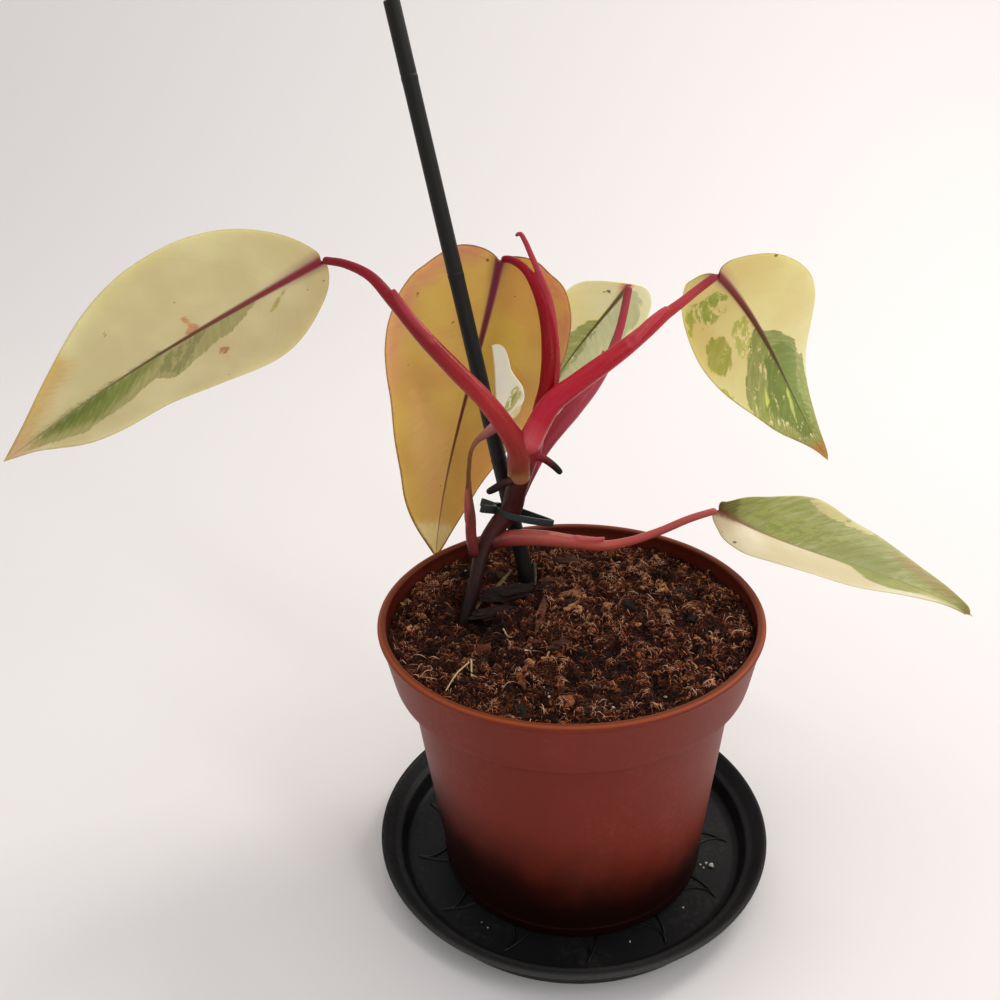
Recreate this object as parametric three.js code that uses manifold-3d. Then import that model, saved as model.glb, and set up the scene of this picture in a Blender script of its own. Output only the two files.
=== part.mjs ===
// Potted climbing philodendron with pink stalks: saucer, nursery pot, soil, cane, clip, stem, stalks and blades.
// Millimetres, +Z up. The origin is on the pot's axis, level with the surface that the saucer stands on.
// +X is to the right and +Y to the back, as the plant is seen from the front.

import * as THREE from 'three';
import { mergeVertices } from 'three/addons/utils/BufferGeometryUtils.js';
import Module from 'manifold-3d';

const wasm = await Module();
wasm.setup();

// Driving dimensions

const GAP = 0.3;                     // air left between pieces that touch
const ROUND_SIDES = 40;              // sides of everything turned about the pot's axis

const SAUCER_RIM_RADIUS = 93.7;
const SAUCER_HEIGHT = 17.2;
const SAUCER_FOOT_RADIUS = 83;
const SAUCER_FLOOR_Z = 4.2;          // top of the floor that the pot stands on
const SAUCER_WALL = 1.7;
const SAUCER_PAD_RADIUS = 9;         // centre pad under the floor, level with the foot ring

const POT_BASE_Z = SAUCER_FLOOR_Z + GAP;
const POT_RIM_RADIUS = 85;
const POT_RIM_Z = 136.2;
const POT_BASE_RADIUS = 62.3;
const POT_BODY_TOP_RADIUS = 73.1;    // just under the collar
const POT_COLLAR_HEIGHT = 27.5;
const POT_COLLAR_LOW_RADIUS = 79.4;
const POT_WALL = 1.6;
const POT_FOOT_HEIGHT = 4.6;
const DRAIN_HOLE_RADIUS = 4;
const DRAIN_HOLE_COUNT = 8;
const DRAIN_HOLE_CIRCLE = 46;

const SOIL_TOP_Z = 130;
const SOIL_TILT = 0.025;             // the soil lies higher at the front than at the back
const SOIL_EDGE_RADIUS = 80.2;       // just inside the collar's wall at the level of the soil
const CHIP_COUNT = 26;
const CHIP_SEED = 7;
const CHIP_SPREAD = 70;              // the chips lie inside this radius

const CANE_RADIUS_LOW = 3.8;
const CANE_RADIUS_TOP = 3.5;
const CANE_AT_SOIL = new THREE.Vector3(-19.7, 38.6, 127);
const CANE_TOP = new THREE.Vector3(-70.3, 73.6, 383);
const CANE_BURIED = 112;             // length below the top of the soil
const CANE_KNOTS = [95, 176, 262, 345];   // rings of the bamboo, measured from its foot
const CANE_KNOT_HEIGHT = 0.35;

const BLADE_THICKNESS = 0.8;
const BLADE_ROWS = 17;
const BLADE_COLUMNS = 4;             // cells from the midrib strip to the margin, on each side
const RIB_HALF_WIDTH = 1.5;
const RIB_DEPTH = 1.3;

// Colours, from the real plant, pot and saucer

const COLOURS = {
  saucer: [0x1c1c1e, 0.55],
  pot: [0x96412a, 0.5],
  soil: [0x3b241b, 0.95],
  cane: [0x18201c, 0.5],
  clip: [0x26302d, 0.45],
  stem: [0x4a1c1c, 0.55],
  petiole: [0xa5263f, 0.4],
  blade_left: [0xbdb783, 0.45],
  blade_middle: [0xb5854a, 0.45],
  blade_right: [0xa9ad6c, 0.45],
  blade_rear: [0xb6b98c, 0.45],
  blade_lower: [0x8a9a55, 0.4],
  blade_new: [0xd9d5b8, 0.45],
};

const WORLD_X = new THREE.Vector3(1, 0, 0);
const WORLD_Y = new THREE.Vector3(0, 1, 0);
const WELD_DISTANCE = 1e-4;

// Solids: welding, joining and cutting

// Merges equal vertices and drops the flat triangles that poles leave behind.
function weld(geometry) {
  const bare = new THREE.BufferGeometry();
  bare.setAttribute('position', geometry.attributes.position);
  bare.setIndex(geometry.index);
  const merged = mergeVertices(bare, WELD_DISTANCE);
  const kept = [];
  const corners = merged.index.array;
  for (let i = 0; i < corners.length; i += 3) {
    const [a, b, c] = [corners[i], corners[i + 1], corners[i + 2]];
    if (a !== b && b !== c && c !== a) kept.push(a, b, c);
  }
  merged.setIndex(kept);
  return merged;
}

function toSolid(geometry) {
  const welded = weld(geometry);
  return new wasm.Manifold(new wasm.Mesh({
    numProp: 3,
    vertProperties: Float32Array.from(welded.attributes.position.array),
    triVerts: Uint32Array.from(welded.index.array),
  }));
}

function toGeometry(solid) {
  const mesh = solid.getMesh();
  const geometry = new THREE.BufferGeometry();
  geometry.setAttribute('position', new THREE.BufferAttribute(mesh.vertProperties, 3));
  geometry.setIndex(new THREE.BufferAttribute(mesh.triVerts, 1));
  return geometry;
}

function join(solids) {
  return solids.reduce((whole, solid) => whole.add(solid));
}

// The largest connected body of a solid, without the scraps that a cut can leave.
function mainBody(solid) {
  const bodies = solid.decompose();
  return bodies.reduce((best, body) => (body.volume() > best.volume() ? body : best));
}

function cutBy(solid, cutters) {
  return mainBody(cutters.reduce((rest, cutter) => rest.subtract(cutter), solid));
}

// Turns a lathe shape from its own +Y axis to +Z and gives it the shared number of sides.
function turned(profile) {
  const points = profile.map(([r, z]) => new THREE.Vector2(r, z));
  return new THREE.LatheGeometry(points, ROUND_SIDES).rotateX(Math.PI / 2);
}

// A seeded draw from 0 to 1, so that the chips fall in the same places every time.
const DRAW_RANGE = 2 ** 32;
const DRAW_FACTOR = 1664525;
const DRAW_STEP = 1013904223;

function seededDraw(seed) {
  let state = seed;
  return () => {
    state = (state * DRAW_FACTOR + DRAW_STEP) % DRAW_RANGE;
    return state / DRAW_RANGE;
  };
}

// Rods: stems, stalks, roots and the cane

// A closed rod along a smooth curve. Each stop is [x, y, z, radius]; grow widens and lengthens it on all sides.
function rod(stops, { sides = 8, steps = 12, grow = 0, endTaper = 1 } = {}) {
  const curve = new THREE.CatmullRomCurve3(stops.map(([x, y, z]) => new THREE.Vector3(x, y, z)));
  const rings = [];
  let normal = null;
  for (let i = 0; i <= steps; i += 1) {
    const t = i / steps;
    const place = t * (stops.length - 1);
    const low = Math.min(Math.floor(place), stops.length - 2);
    const radius = THREE.MathUtils.lerp(stops[low][3], stops[low + 1][3], place - low) + grow;
    const centre = curve.getPoint(t);
    const tangent = curve.getTangent(t);
    if (!normal) normal = new THREE.Vector3().crossVectors(tangent, WORLD_X).normalize();
    normal.addScaledVector(tangent, -normal.dot(tangent)).normalize();
    const side = new THREE.Vector3().crossVectors(tangent, normal);
    if (i === 0) centre.addScaledVector(tangent, -grow);
    if (i === steps) centre.addScaledVector(tangent, grow);
    const scale = i === steps ? endTaper : 1;
    rings.push({ centre, normal: normal.clone(), side, radius: radius * scale });
  }
  const geometry = new THREE.CylinderGeometry(1, 1, 1, sides, steps);
  const position = geometry.attributes.position;
  for (let i = 0; i < position.count; i += 1) {
    const ring = rings[Math.round((position.getY(i) + 0.5) * steps)];
    const point = ring.centre.clone();
    point.addScaledVector(ring.side, position.getX(i) * ring.radius);
    point.addScaledVector(ring.normal, position.getZ(i) * ring.radius);
    position.setXYZ(i, point.x, point.y, point.z);
  }
  return toSolid(geometry);
}

// Saucer and pot

function saucerGeometry() {
  const underside = SAUCER_FLOOR_Z - SAUCER_WALL;
  return turned([
    [0, 0], [SAUCER_PAD_RADIUS, 0], [SAUCER_PAD_RADIUS + 1, underside],
    [78.2, underside], [79.2, 0], [SAUCER_FOOT_RADIUS, 0], [84, 2],
    [85.6, 9.4], [88.2, 10.6], [92.2, 14.2], [SAUCER_RIM_RADIUS, 15.6],
    [SAUCER_RIM_RADIUS - 0.2, 16.8], [92.8, SAUCER_HEIGHT], [91.6, 16.9],
    [87, 12.4], [84.2, 11.4], [81.4, 5.4], [78.6, SAUCER_FLOOR_Z], [0, SAUCER_FLOOR_Z],
  ]);
}

// The inside of the pot, from the base's edge up to the lip, as radius and height.
const POT_COLLAR_Z = POT_RIM_Z - POT_COLLAR_HEIGHT;
const POT_INSIDE = [
  [POT_BASE_RADIUS - POT_WALL - 1.6, POT_BASE_Z + 3.8],
  [POT_BASE_RADIUS - POT_WALL, POT_BASE_Z + 5.4],
  [POT_BODY_TOP_RADIUS - POT_WALL, POT_COLLAR_Z],
  [POT_COLLAR_LOW_RADIUS - POT_WALL, POT_COLLAR_Z + POT_WALL],
  [81.4, POT_RIM_Z - 3.4],
];

function potGeometry() {
  const inside = [...POT_INSIDE].reverse();
  const shell = toSolid(turned([
    [0, POT_BASE_Z + 2], [57, POT_BASE_Z + 2], [58.4, POT_BASE_Z], [POT_BASE_RADIUS, POT_BASE_Z],
    [POT_BASE_RADIUS + 0.4, POT_BASE_Z + POT_FOOT_HEIGHT],
    [POT_BASE_RADIUS - 0.1, POT_BASE_Z + POT_FOOT_HEIGHT + 0.7],
    [POT_BODY_TOP_RADIUS, POT_COLLAR_Z - 0.8], [POT_BODY_TOP_RADIUS + 0.8, POT_COLLAR_Z],
    [POT_COLLAR_LOW_RADIUS - 0.6, POT_COLLAR_Z], [POT_COLLAR_LOW_RADIUS, POT_COLLAR_Z + 0.8],
    [83.6, POT_RIM_Z - 4.4], [POT_RIM_RADIUS, POT_RIM_Z - 2.6],
    [POT_RIM_RADIUS, POT_RIM_Z - 0.7], [84.3, POT_RIM_Z],
    [81.8, POT_RIM_Z], [81.2, POT_RIM_Z - 0.7],
    ...inside, [0, POT_BASE_Z + 3.8],
  ]));
  const holes = [];
  for (let i = 0; i < DRAIN_HOLE_COUNT; i += 1) {
    const angle = (i + 0.5) * 2 * Math.PI / DRAIN_HOLE_COUNT;
    const hole = new THREE.CylinderGeometry(DRAIN_HOLE_RADIUS, DRAIN_HOLE_RADIUS, 12, 12);
    hole.rotateX(Math.PI / 2);
    hole.translate(DRAIN_HOLE_CIRCLE * Math.cos(angle), DRAIN_HOLE_CIRCLE * Math.sin(angle), POT_BASE_Z);
    holes.push(toSolid(hole));
  }
  return toGeometry(cutBy(shell, holes));
}

// Soil

const HOLLOW_AT_STEM = { x: -50, y: 2, radius: 15, depth: 6 };
const MOUND = { x: 12, y: 12, radius: 34, depth: -3 };

function dip({ x, y, radius, depth }, px, py) {
  const away = ((px - x) ** 2 + (py - y) ** 2) / radius ** 2;
  return -depth * Math.exp(-away);
}

// Height of the soil's top at a place. The lumps die out at the wall, where the soil keeps its level.
function soilHeight(x, y) {
  const r = Math.hypot(x, y);
  const inward = THREE.MathUtils.smoothstep(80 - r, 0, 12);
  const lumps = 1.7 * Math.sin(x * 0.23 + 1.1) * Math.cos(y * 0.19 - 0.4)
    + 0.9 * Math.sin(x * 0.41 - y * 0.33) + 0.6 * Math.cos(x * 0.17 + y * 0.52 + 2);
  const level = SOIL_TOP_Z - SOIL_TILT * y;
  return level + inward * lumps + dip(HOLLOW_AT_STEM, x, y) + inward * dip(MOUND, x, y);
}

function chip(draw) {
  const angle = draw() * 2 * Math.PI;
  const r = CHIP_SPREAD * Math.sqrt(draw());
  const x = r * Math.cos(angle);
  const y = r * Math.sin(angle);
  const size = 3 + 3.4 * draw();
  const block = new THREE.IcosahedronGeometry(1);
  block.scale(size * (1 + 0.8 * draw()), size * 0.8, size * 0.55);
  block.rotateY(0.7 * (draw() - 0.5));
  block.rotateZ(draw() * Math.PI);
  block.translate(x, y, soilHeight(x, y) + 0.1 * size);
  return toSolid(block);
}

function soilGeometry(inSoil) {
  const outer = POT_INSIDE.slice(0, -1).map(([r, z]) => [r - GAP, z + GAP]);
  const edge = [SOIL_EDGE_RADIUS, SOIL_TOP_Z];
  const rings = [77, 68, 58, 48, 38, 28, 18, 9].map((r) => [r, SOIL_TOP_Z]);
  const body = turned([[0, POT_BASE_Z + 3.8 + GAP], ...outer, edge, ...rings, [0, SOIL_TOP_Z]]);
  const position = body.attributes.position;
  for (let i = 0; i < position.count; i += 1) {
    if (position.getZ(i) > SOIL_TOP_Z - 0.01) {
      position.setZ(i, soilHeight(position.getX(i), position.getY(i)));
    }
  }
  const draw = seededDraw(CHIP_SEED);
  const chips = Array.from({ length: CHIP_COUNT }, () => chip(draw));
  return toGeometry(cutBy(join([toSolid(body), ...chips]), inSoil));
}

// Cane

function caneSolid(grow = 0) {
  const up = new THREE.Vector3().subVectors(CANE_TOP, CANE_AT_SOIL).normalize();
  const foot = CANE_AT_SOIL.clone().addScaledVector(up, -CANE_BURIED - grow);
  const length = foot.distanceTo(CANE_TOP) + grow;
  const profile = [[0, 0], [CANE_RADIUS_LOW, 0]];
  for (const at of CANE_KNOTS) {
    const radius = THREE.MathUtils.lerp(CANE_RADIUS_LOW, CANE_RADIUS_TOP, at / length);
    profile.push([radius, at - 1.5], [radius + CANE_KNOT_HEIGHT, at], [radius, at + 1.5]);
  }
  profile.push([CANE_RADIUS_TOP, length], [0, length]);
  const points = profile.map(([r, y]) => new THREE.Vector2(r > 0 ? r + grow : 0, y));
  const cane = new THREE.LatheGeometry(points, 12);
  cane.applyQuaternion(new THREE.Quaternion().setFromUnitVectors(WORLD_Y, up));
  cane.translate(foot.x, foot.y, foot.z);
  return toSolid(cane);
}

// Clip: one loop of plastic round the stem and the cane, with a nose and two finger tabs

const CLIP_CENTRE = new THREE.Vector3(-26.4, 34, 166.5);
const CLIP_UP = new THREE.Vector3(0.26, 0.27, 0.927);
const CLIP_HEIGHT = 3.2;
const CLIP_WALL = 1.5;
const CLIP_POINTS = 26;              // points round the loop

// The loop in its own plane: x runs to the nose, y to the back.
function loopCurve(spread) {
  const places = [
    [-8.6, 3.5], [-4.5, -5], [2, -7.2], [10, -5.4], [20.5, 1.6], [10.5, 10], [2, 15], [-5.5, 15], [-9, 10],
  ];
  const centre = new THREE.Vector3(0, 4, 0);
  return places.map(([x, y]) => {
    const out = new THREE.Vector3(x, y, 0).sub(centre);
    return out.setLength(out.length() + spread).add(centre);
  });
}

function closedShapePoints(points, count) {
  const curve = new THREE.CatmullRomCurve3(points, true);
  return curve.getPoints(count).slice(0, count).map((p) => new THREE.Vector2(p.x, p.y));
}

function clipSolid() {
  const band = new THREE.Shape(closedShapePoints(loopCurve(0), CLIP_POINTS));
  band.holes.push(new THREE.Path(closedShapePoints(loopCurve(-CLIP_WALL), CLIP_POINTS)));
  const flat = { depth: CLIP_HEIGHT, bevelEnabled: false, curveSegments: 1 };
  const pieces = [toSolid(new THREE.ExtrudeGeometry(band, flat))];
  for (const [fromY, toY] of [[0.5, -3.5], [9, 12.5]]) {
    const tab = new THREE.Shape([
      new THREE.Vector2(-8.2, fromY - 0.8), new THREE.Vector2(-13.4, toY - 1.1),
      new THREE.Vector2(-13.6, toY + 0.9), new THREE.Vector2(-7.8, fromY + 1.2),
    ].reverse());
    pieces.push(toSolid(new THREE.ExtrudeGeometry(tab, flat)));
  }
  const clip = toGeometry(join(pieces));
  clip.translate(0, 0, -CLIP_HEIGHT / 2);
  const along = new THREE.Vector3().crossVectors(WORLD_Y, CLIP_UP).normalize();
  const back = new THREE.Vector3().crossVectors(CLIP_UP, along).normalize();
  const place = new THREE.Matrix4().makeBasis(along, back, CLIP_UP.clone().normalize());
  clip.applyMatrix4(place.setPosition(CLIP_CENTRE));
  return toSolid(clip);
}

// Stem

const STEM_STOPS = [
  [-53, -2, 92, 2.4], [-51, 2, 112, 2.8], [-48.4, 5, 124, 3], [-45, 9.5, 134, 3.1], [-42.3, 14.5, 143, 3.2],
  [-39, 22.5, 154.5, 3.6], [-32.3, 30, 163, 4.4], [-26.4, 34, 168.5, 5], [-23.8, 34, 178, 5],
  [-21.4, 34, 186, 5.2], [-18, 34.5, 194.5, 4.6], [-15.4, 35, 201, 4.2],
];
const ROOT_STOPS = [
  [[-16.5, 33.5, 195, 1.3], [-11, 33, 195, 1.2], [-6, 32.5, 191.5, 1], [-2.4, 32, 187.5, 0.8]],
  [[-24.5, 31, 185, 1.2], [-29, 28.5, 185, 1.15], [-33.5, 27.5, 182.5, 1], [-37.5, 27, 181, 0.7]],
];

function stemSolid(grow = 0) {
  const roots = ROOT_STOPS.map((stops) => rod(stops, { sides: 6, steps: 5, grow, endTaper: 0.5 }));
  return join([rod(STEM_STOPS, { sides: 10, steps: 26, grow }), ...roots]);
}

// Stalks. Each has its main rod and its sheath, a lighter rod that grows with it and ends in a free tip.

const STALKS = {
  petiole_right: {
    main: [
      [-16.6, 32, 203, 5.6], [-6.9, 33, 220.4, 5.1], [4.1, 36, 228.4, 4.6], [15.5, 40, 235.5, 4.4],
      [25.7, 45, 241.5, 4], [36, 51, 248, 3.4], [44, 57, 252.8, 2.6], [51.2, 62, 256.6, 2.3],
      [58.7, 67, 261, 2.1], [67.8, 70.6, 266.7, 1.9],
    ],
    sheath: [[28, 44, 244, 2.6], [36, 49.5, 251, 2], [41.5, 54, 254.6, 1.5], [44.6, 56.5, 256.6, 0.8]],
  },
  petiole_left: {
    main: [
      [-22, 32.6, 186.5, 5.3], [-23.3, 31, 200.7, 4.8], [-29.5, 30, 213.5, 4.4], [-36.6, 31, 224.5, 4.2],
      [-47.6, 34, 235.6, 4.1], [-61.7, 39, 250, 3.7], [-75.4, 45, 265.2, 2.9], [-84.9, 49, 275, 2.4],
      [-96.1, 52.5, 279.8, 2], [-106.6, 55.2, 281.2, 1.8],
    ],
    sheath: [[-58, 37, 248.5, 2.4], [-66, 40, 257.5, 2], [-72, 43, 266, 1.5], [-74.6, 45, 270.2, 0.8]],
  },
  petiole_middle: {
    main: [
      [-14.9, 37, 202.4, 4.3], [-10.6, 38, 218.7, 4], [-8.7, 39.5, 226, 3.8], [-7.4, 44, 239.8, 3.7],
      [-9, 53, 254.5, 3.1], [-13.6, 61, 266.5, 2.4], [-18.5, 66, 273.1, 2], [-24.5, 69.8, 276.2, 1.8],
      [-29, 71.8, 276, 1.7],
    ],
    sheath: [
      [-6.5, 39, 222, 1.4], [-4, 42, 231, 1.4], [-4.6, 48.5, 247, 1.4], [-7.4, 57, 262, 1.5],
      [-12.4, 63, 273, 1.5], [-15.2, 65.5, 279, 1.4], [-17.8, 66.5, 285, 1.3], [-20, 66.5, 288.4, 1.1],
      [-22, 66.5, 286.8, 0.8],
    ],
  },
  petiole_rear: {
    main: [
      [-22.8, 40, 171, 2.4], [-17.6, 42, 183.5, 3.1], [-11.2, 46.5, 194.4, 3.6], [2.3, 51.5, 210.4, 4.1],
      [11.6, 58, 219.5, 3.3], [19.4, 68, 229, 2.6], [25, 79, 240, 2.1], [28.6, 89, 251.5, 2],
      [30, 94, 257.4, 2],
    ],
    sheath: [[11, 56.5, 220.5, 2], [15, 61.5, 227.5, 1.7], [16.6, 64, 231.4, 1.3], [17.2, 66, 234.6, 0.8]],
  },
  petiole_lower: {
    main: [
      [-37.8, 23.6, 156.6, 3.9], [-31.5, 27.6, 156.6, 4], [-24, 30.6, 155.8, 4], [-10.9, 34, 153.6, 3.8],
      [2.7, 37, 150, 3.3], [17.1, 40, 146.4, 2.6], [29.7, 42.5, 147.5, 2.2], [43.5, 44.5, 151.6, 2],
      [57, 45.5, 157.4, 1.9], [70, 46, 161.6, 1.7],
    ],
    sheath: [[2, 36, 152.5, 2], [9, 37.5, 151, 1.7], [14.5, 38.8, 150.4, 1.3], [17.6, 39.4, 151, 0.8]],
  },
  petiole_new: {
    main: [
      [-42.5, 18.5, 152, 2.5], [-44, 20, 162, 2.6], [-44, 22, 170.5, 2.5], [-44.7, 26, 180, 1.8],
      [-44.7, 29, 186.2, 1.2], [-44.4, 32, 192, 1.1], [-43.4, 35, 198, 1.1], [-41, 37.6, 201.6, 1.3],
      [-37.6, 39.4, 203.8, 2], [-34, 41.2, 206, 2.6], [-30.6, 44, 208.8, 2.2],
    ],
    sheath: [[-45, 20.8, 168, 1.8], [-45.4, 22.5, 175, 1.5], [-45.6, 24, 180, 1.1], [-45.6, 25, 183, 0.7]],
  },
};

function stalkSolid({ main, sheath }, grow = 0) {
  const steps = 2 * main.length;
  const sheathSteps = 2 * sheath.length - 2;
  return join([
    rod(main, { sides: 8, steps, grow }),
    rod(sheath, { sides: 6, steps: sheathSteps, grow, endTaper: 0.4 }),
  ]);
}

// Blades. A flat leaf outline is laid on a bent midrib.
// midrib: corners of its cubic curve, from the stalk to the tip. face: the way the upper side looks.
// twist: turn of the blade about the midrib from base to tip. fold: lift of each half. cup: bend of each half.
// lobe, shoulder, widest, fullness, tipReach, tipWidth: the outline, as shares of length and half width.
// waves: [height, count, phase] of the margin's ripple, away from the plane of the blade.

const BLADES = {
  blade_left: {
    midrib: [[-107.3, 55.5, 281.2], [-161, 52, 255], [-208.5, 62.5, 231.5], [-252.7, 17.7, 202.9]],
    face: [-0.4, 0.86, 0.31], width: 82, twist: -5, fold: 5, cup: 8, waves: [1.2, 2, 0.4],
    lobe: 0.022, shoulder: 0.18, widest: 0.32, fullness: 0.31, tipReach: 0.07, tipWidth: 0.12,
    stalk: 'petiole_left',
  },
  blade_middle: {
    midrib: [[-29.5, 72, 275.7], [-43, 87, 221], [-66.7, 77.5, 166.5], [-69.5, 70.5, 114.5]],
    face: [0.08, 0.94, 0.33], width: 92, twist: -26, fold: 10, cup: 8, waves: [1, 2, 1.6],
    lobe: 0.05, shoulder: 0.25, widest: 0.28, fullness: 0.23, tipReach: 0.13, tipWidth: 0.11,
    stalk: 'petiole_middle',
  },
  blade_right: {
    midrib: [[68.2, 71, 267.1], [96, 90, 238], [108, 88.5, 201], [131.8, 94, 166]],
    face: [-0.54, -0.03, 0.84], width: 65, twist: 4, fold: 9, cup: 3, waves: [0.8, 2, 2.4],
    lobe: 0.057, shoulder: 0.26, widest: 0.29, fullness: 0.42, tipReach: 0.21, tipWidth: 0.1,
    stalk: 'petiole_right',
  },
  blade_rear: {
    midrib: [[30.1, 94.8, 258.1], [18.3, 115, 235.6], [-6.4, 111, 213], [-16.5, 108.4, 183.3]],
    face: [-0.31, 0.95, -0.02], width: 47, twist: 2, fold: 6, cup: 6, waves: [0.6, 2, 0.8],
    lobe: 0.02, shoulder: 0.2, widest: 0.3, fullness: 0.2, tipReach: 0.3, tipWidth: 0.1,
    stalk: 'petiole_rear',
  },
  blade_lower: {
    midrib: [[70.6, 46, 161.7], [104, 36.6, 141.2], [153, 27, 138.6], [184.5, 21, 118.4]],
    face: [-0.85, 0.15, 0.5], width: 62, twist: 0, fold: 14, cup: 7, waves: [0.8, 2, 3],
    lobe: 0.066, shoulder: 0.05, widest: 0.36, fullness: 0.22, tipReach: 0.06, tipWidth: 0.1,
    stalk: 'petiole_lower',
  },
  blade_new: {
    midrib: [[-30.3, 44.5, 209.3], [-34.6, 52, 215.5], [-31.5, 63, 228.5], [-34.8, 69.5, 237]],
    face: [0.65, 0.72, 0], width: 31, twist: 0, fold: 35, cup: 4, waves: [0.3, 2, 0],
    lobe: 0.12, shoulder: 0.22, widest: 0.32, fullness: 0.22, tipReach: 0.14, tipWidth: 0.25,
    stalk: 'petiole_new',
  },
};

function vector([x, y, z]) {
  return new THREE.Vector3(x, y, z);
}

// Half of the flat outline, from the stalk round to the tip: x along the midrib, y across, root on the midrib.
function outlineAt(blade, u) {
  const { lobe, shoulder, widest, fullness, tipReach, tipWidth } = blade;
  const split = 0.4;
  const rootOfWidest = 0.55 * widest;
  const p = new THREE.Vector2();
  if (u <= split) {
    const t = u / split;
    const base = new THREE.CubicBezierCurve(
      new THREE.Vector2(0, 0), new THREE.Vector2(-1.33 * lobe, 0.22),
      new THREE.Vector2(widest - shoulder, 1), new THREE.Vector2(widest, 1),
    );
    base.getPoint(t, p);
    return { x: p.x, y: p.y, root: rootOfWidest * t ** 1.5 };
  }
  const t = (u - split) / (1 - split);
  const point = new THREE.CubicBezierCurve(
    new THREE.Vector2(widest, 1), new THREE.Vector2(widest + fullness, 1),
    new THREE.Vector2(1 - tipReach, tipWidth), new THREE.Vector2(1, 0),
  );
  point.getPoint(t, p);
  return { x: p.x, y: p.y, root: THREE.MathUtils.lerp(rootOfWidest, 1, t) };
}

// Places a point of the flat leaf in space. along and across are in millimetres; lift is out of the blade.
function bladePlacer(blade) {
  const curve = new THREE.CubicBezierCurve3(...blade.midrib.map(vector));
  const length = curve.getLength();
  const face = vector(blade.face);
  return {
    length,
    place(along, across, lift) {
      const share = THREE.MathUtils.clamp(along / length, 0, 1);
      const centre = curve.getPointAt(share);
      const tangent = curve.getTangentAt(share);
      centre.addScaledVector(tangent, Math.min(along, 0));
      const normal = face.clone().addScaledVector(tangent, -face.dot(tangent)).normalize();
      normal.applyAxisAngle(tangent, THREE.MathUtils.degToRad(blade.twist) * share);
      const side = new THREE.Vector3().crossVectors(tangent, normal);
      const away = Math.abs(across);
      const fold = THREE.MathUtils.degToRad(blade.fold);
      const bend = THREE.MathUtils.degToRad(blade.cup) / (blade.width / 2);
      const reach = (Math.sin(fold + bend * away) - Math.sin(fold)) / bend;
      const rise = (Math.cos(fold) - Math.cos(fold + bend * away)) / bend;
      const [height, count, phase] = blade.waves;
      const edge = (away / (blade.width / 2)) ** 2;
      const ripple = height * edge * Math.sin(2 * Math.PI * count * share + phase + (across > 0 ? 1.3 : 0));
      const slope = fold + bend * away;
      const sign = Math.sign(across);
      centre.addScaledVector(side, sign * (reach - lift * Math.sin(slope)));
      centre.addScaledVector(normal, rise + ripple + lift * Math.cos(slope));
      return centre;
    },
  };
}

// The blade as a thin closed sheet with a raised rib under the midrib.
// Each row runs from one margin over the midrib to the other, and the first and last row are single points.
function bladeRows(blade, length) {
  const half = blade.width / 2;
  const rows = [];
  for (let i = 0; i <= BLADE_ROWS; i += 1) {
    const edge = outlineAt(blade, i / BLADE_ROWS);
    const halfHere = edge.y * half;
    const strip = Math.min(RIB_HALF_WIDTH / Math.max(halfHere, 0.1), 0.5);
    const row = [];
    for (let step = -BLADE_COLUMNS - 1; step <= BLADE_COLUMNS + 1; step += 1) {
      const outward = Math.abs(step);
      const share = outward === 0 ? 0 : strip + (1 - strip) * (outward - 1) / BLADE_COLUMNS;
      const rib = outward === 0 ? Math.min(RIB_DEPTH, 0.2 * halfHere) * (1 - 0.8 * edge.root) : 0;
      row.push({
        along: THREE.MathUtils.lerp(edge.root, edge.x, share) * length,
        across: Math.sign(step) * halfHere * share,
        under: -BLADE_THICKNESS / 2 - rib,
      });
    }
    rows.push(row);
  }
  return rows;
}

function bladeSolid(blade) {
  const { length, place } = bladePlacer(blade);
  const points = [];
  const keep = (point) => points.push(point) - 1;
  const rows = bladeRows(blade, length).map((row) => ({
    top: row.map(({ along, across }) => keep(place(along, across, BLADE_THICKNESS / 2))),
    under: row.map(({ along, across, under }) => keep(place(along, across, under))),
  }));
  const triangles = [];
  const quad = (a, b, c, d) => triangles.push(a, b, c, a, c, d);
  const last = 2 * BLADE_COLUMNS + 2;
  for (let i = 0; i < BLADE_ROWS; i += 1) {
    const here = rows[i];
    const next = rows[i + 1];
    for (let j = 0; j < last; j += 1) {
      // Both faces are split along the same diagonal, so they never cross.
      if (j < last / 2) {
        quad(here.top[j], here.top[j + 1], next.top[j + 1], next.top[j]);
        quad(here.under[j], next.under[j], next.under[j + 1], here.under[j + 1]);
      } else {
        quad(here.top[j + 1], next.top[j + 1], next.top[j], here.top[j]);
        quad(here.under[j + 1], here.under[j], next.under[j], next.under[j + 1]);
      }
    }
    quad(here.under[0], here.top[0], next.top[0], next.under[0]);
    quad(here.under[last], next.under[last], next.top[last], here.top[last]);
  }
  const geometry = new THREE.BufferGeometry().setFromPoints(points);
  geometry.setIndex(triangles);
  return toSolid(geometry);
}

// The whole plant in its pot

const plant = new THREE.Group();

function addPiece(name, geometry, [colour, roughness]) {
  const material = new THREE.MeshStandardMaterial({ color: colour, roughness, metalness: 0 });
  const piece = new THREE.Mesh(geometry, material);
  piece.name = name;
  plant.add(piece);
}

addPiece('saucer', weld(saucerGeometry()), COLOURS.saucer);
addPiece('pot', potGeometry(), COLOURS.pot);
addPiece('soil', soilGeometry([stemSolid(GAP), caneSolid(GAP)]), COLOURS.soil);
addPiece('cane', toGeometry(caneSolid()), COLOURS.cane);
addPiece('stem', toGeometry(stemSolid()), COLOURS.stem);

// Each stalk is seated against the stem and against the stalks that stand before it.
const seats = [stemSolid(GAP), caneSolid(GAP)];
for (const [name, stalk] of Object.entries(STALKS)) {
  addPiece(name, toGeometry(cutBy(stalkSolid(stalk), seats)), COLOURS.petiole);
  seats.push(stalkSolid(stalk, GAP));
}
addPiece('clip', toGeometry(cutBy(clipSolid(), seats)), COLOURS.clip);

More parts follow.
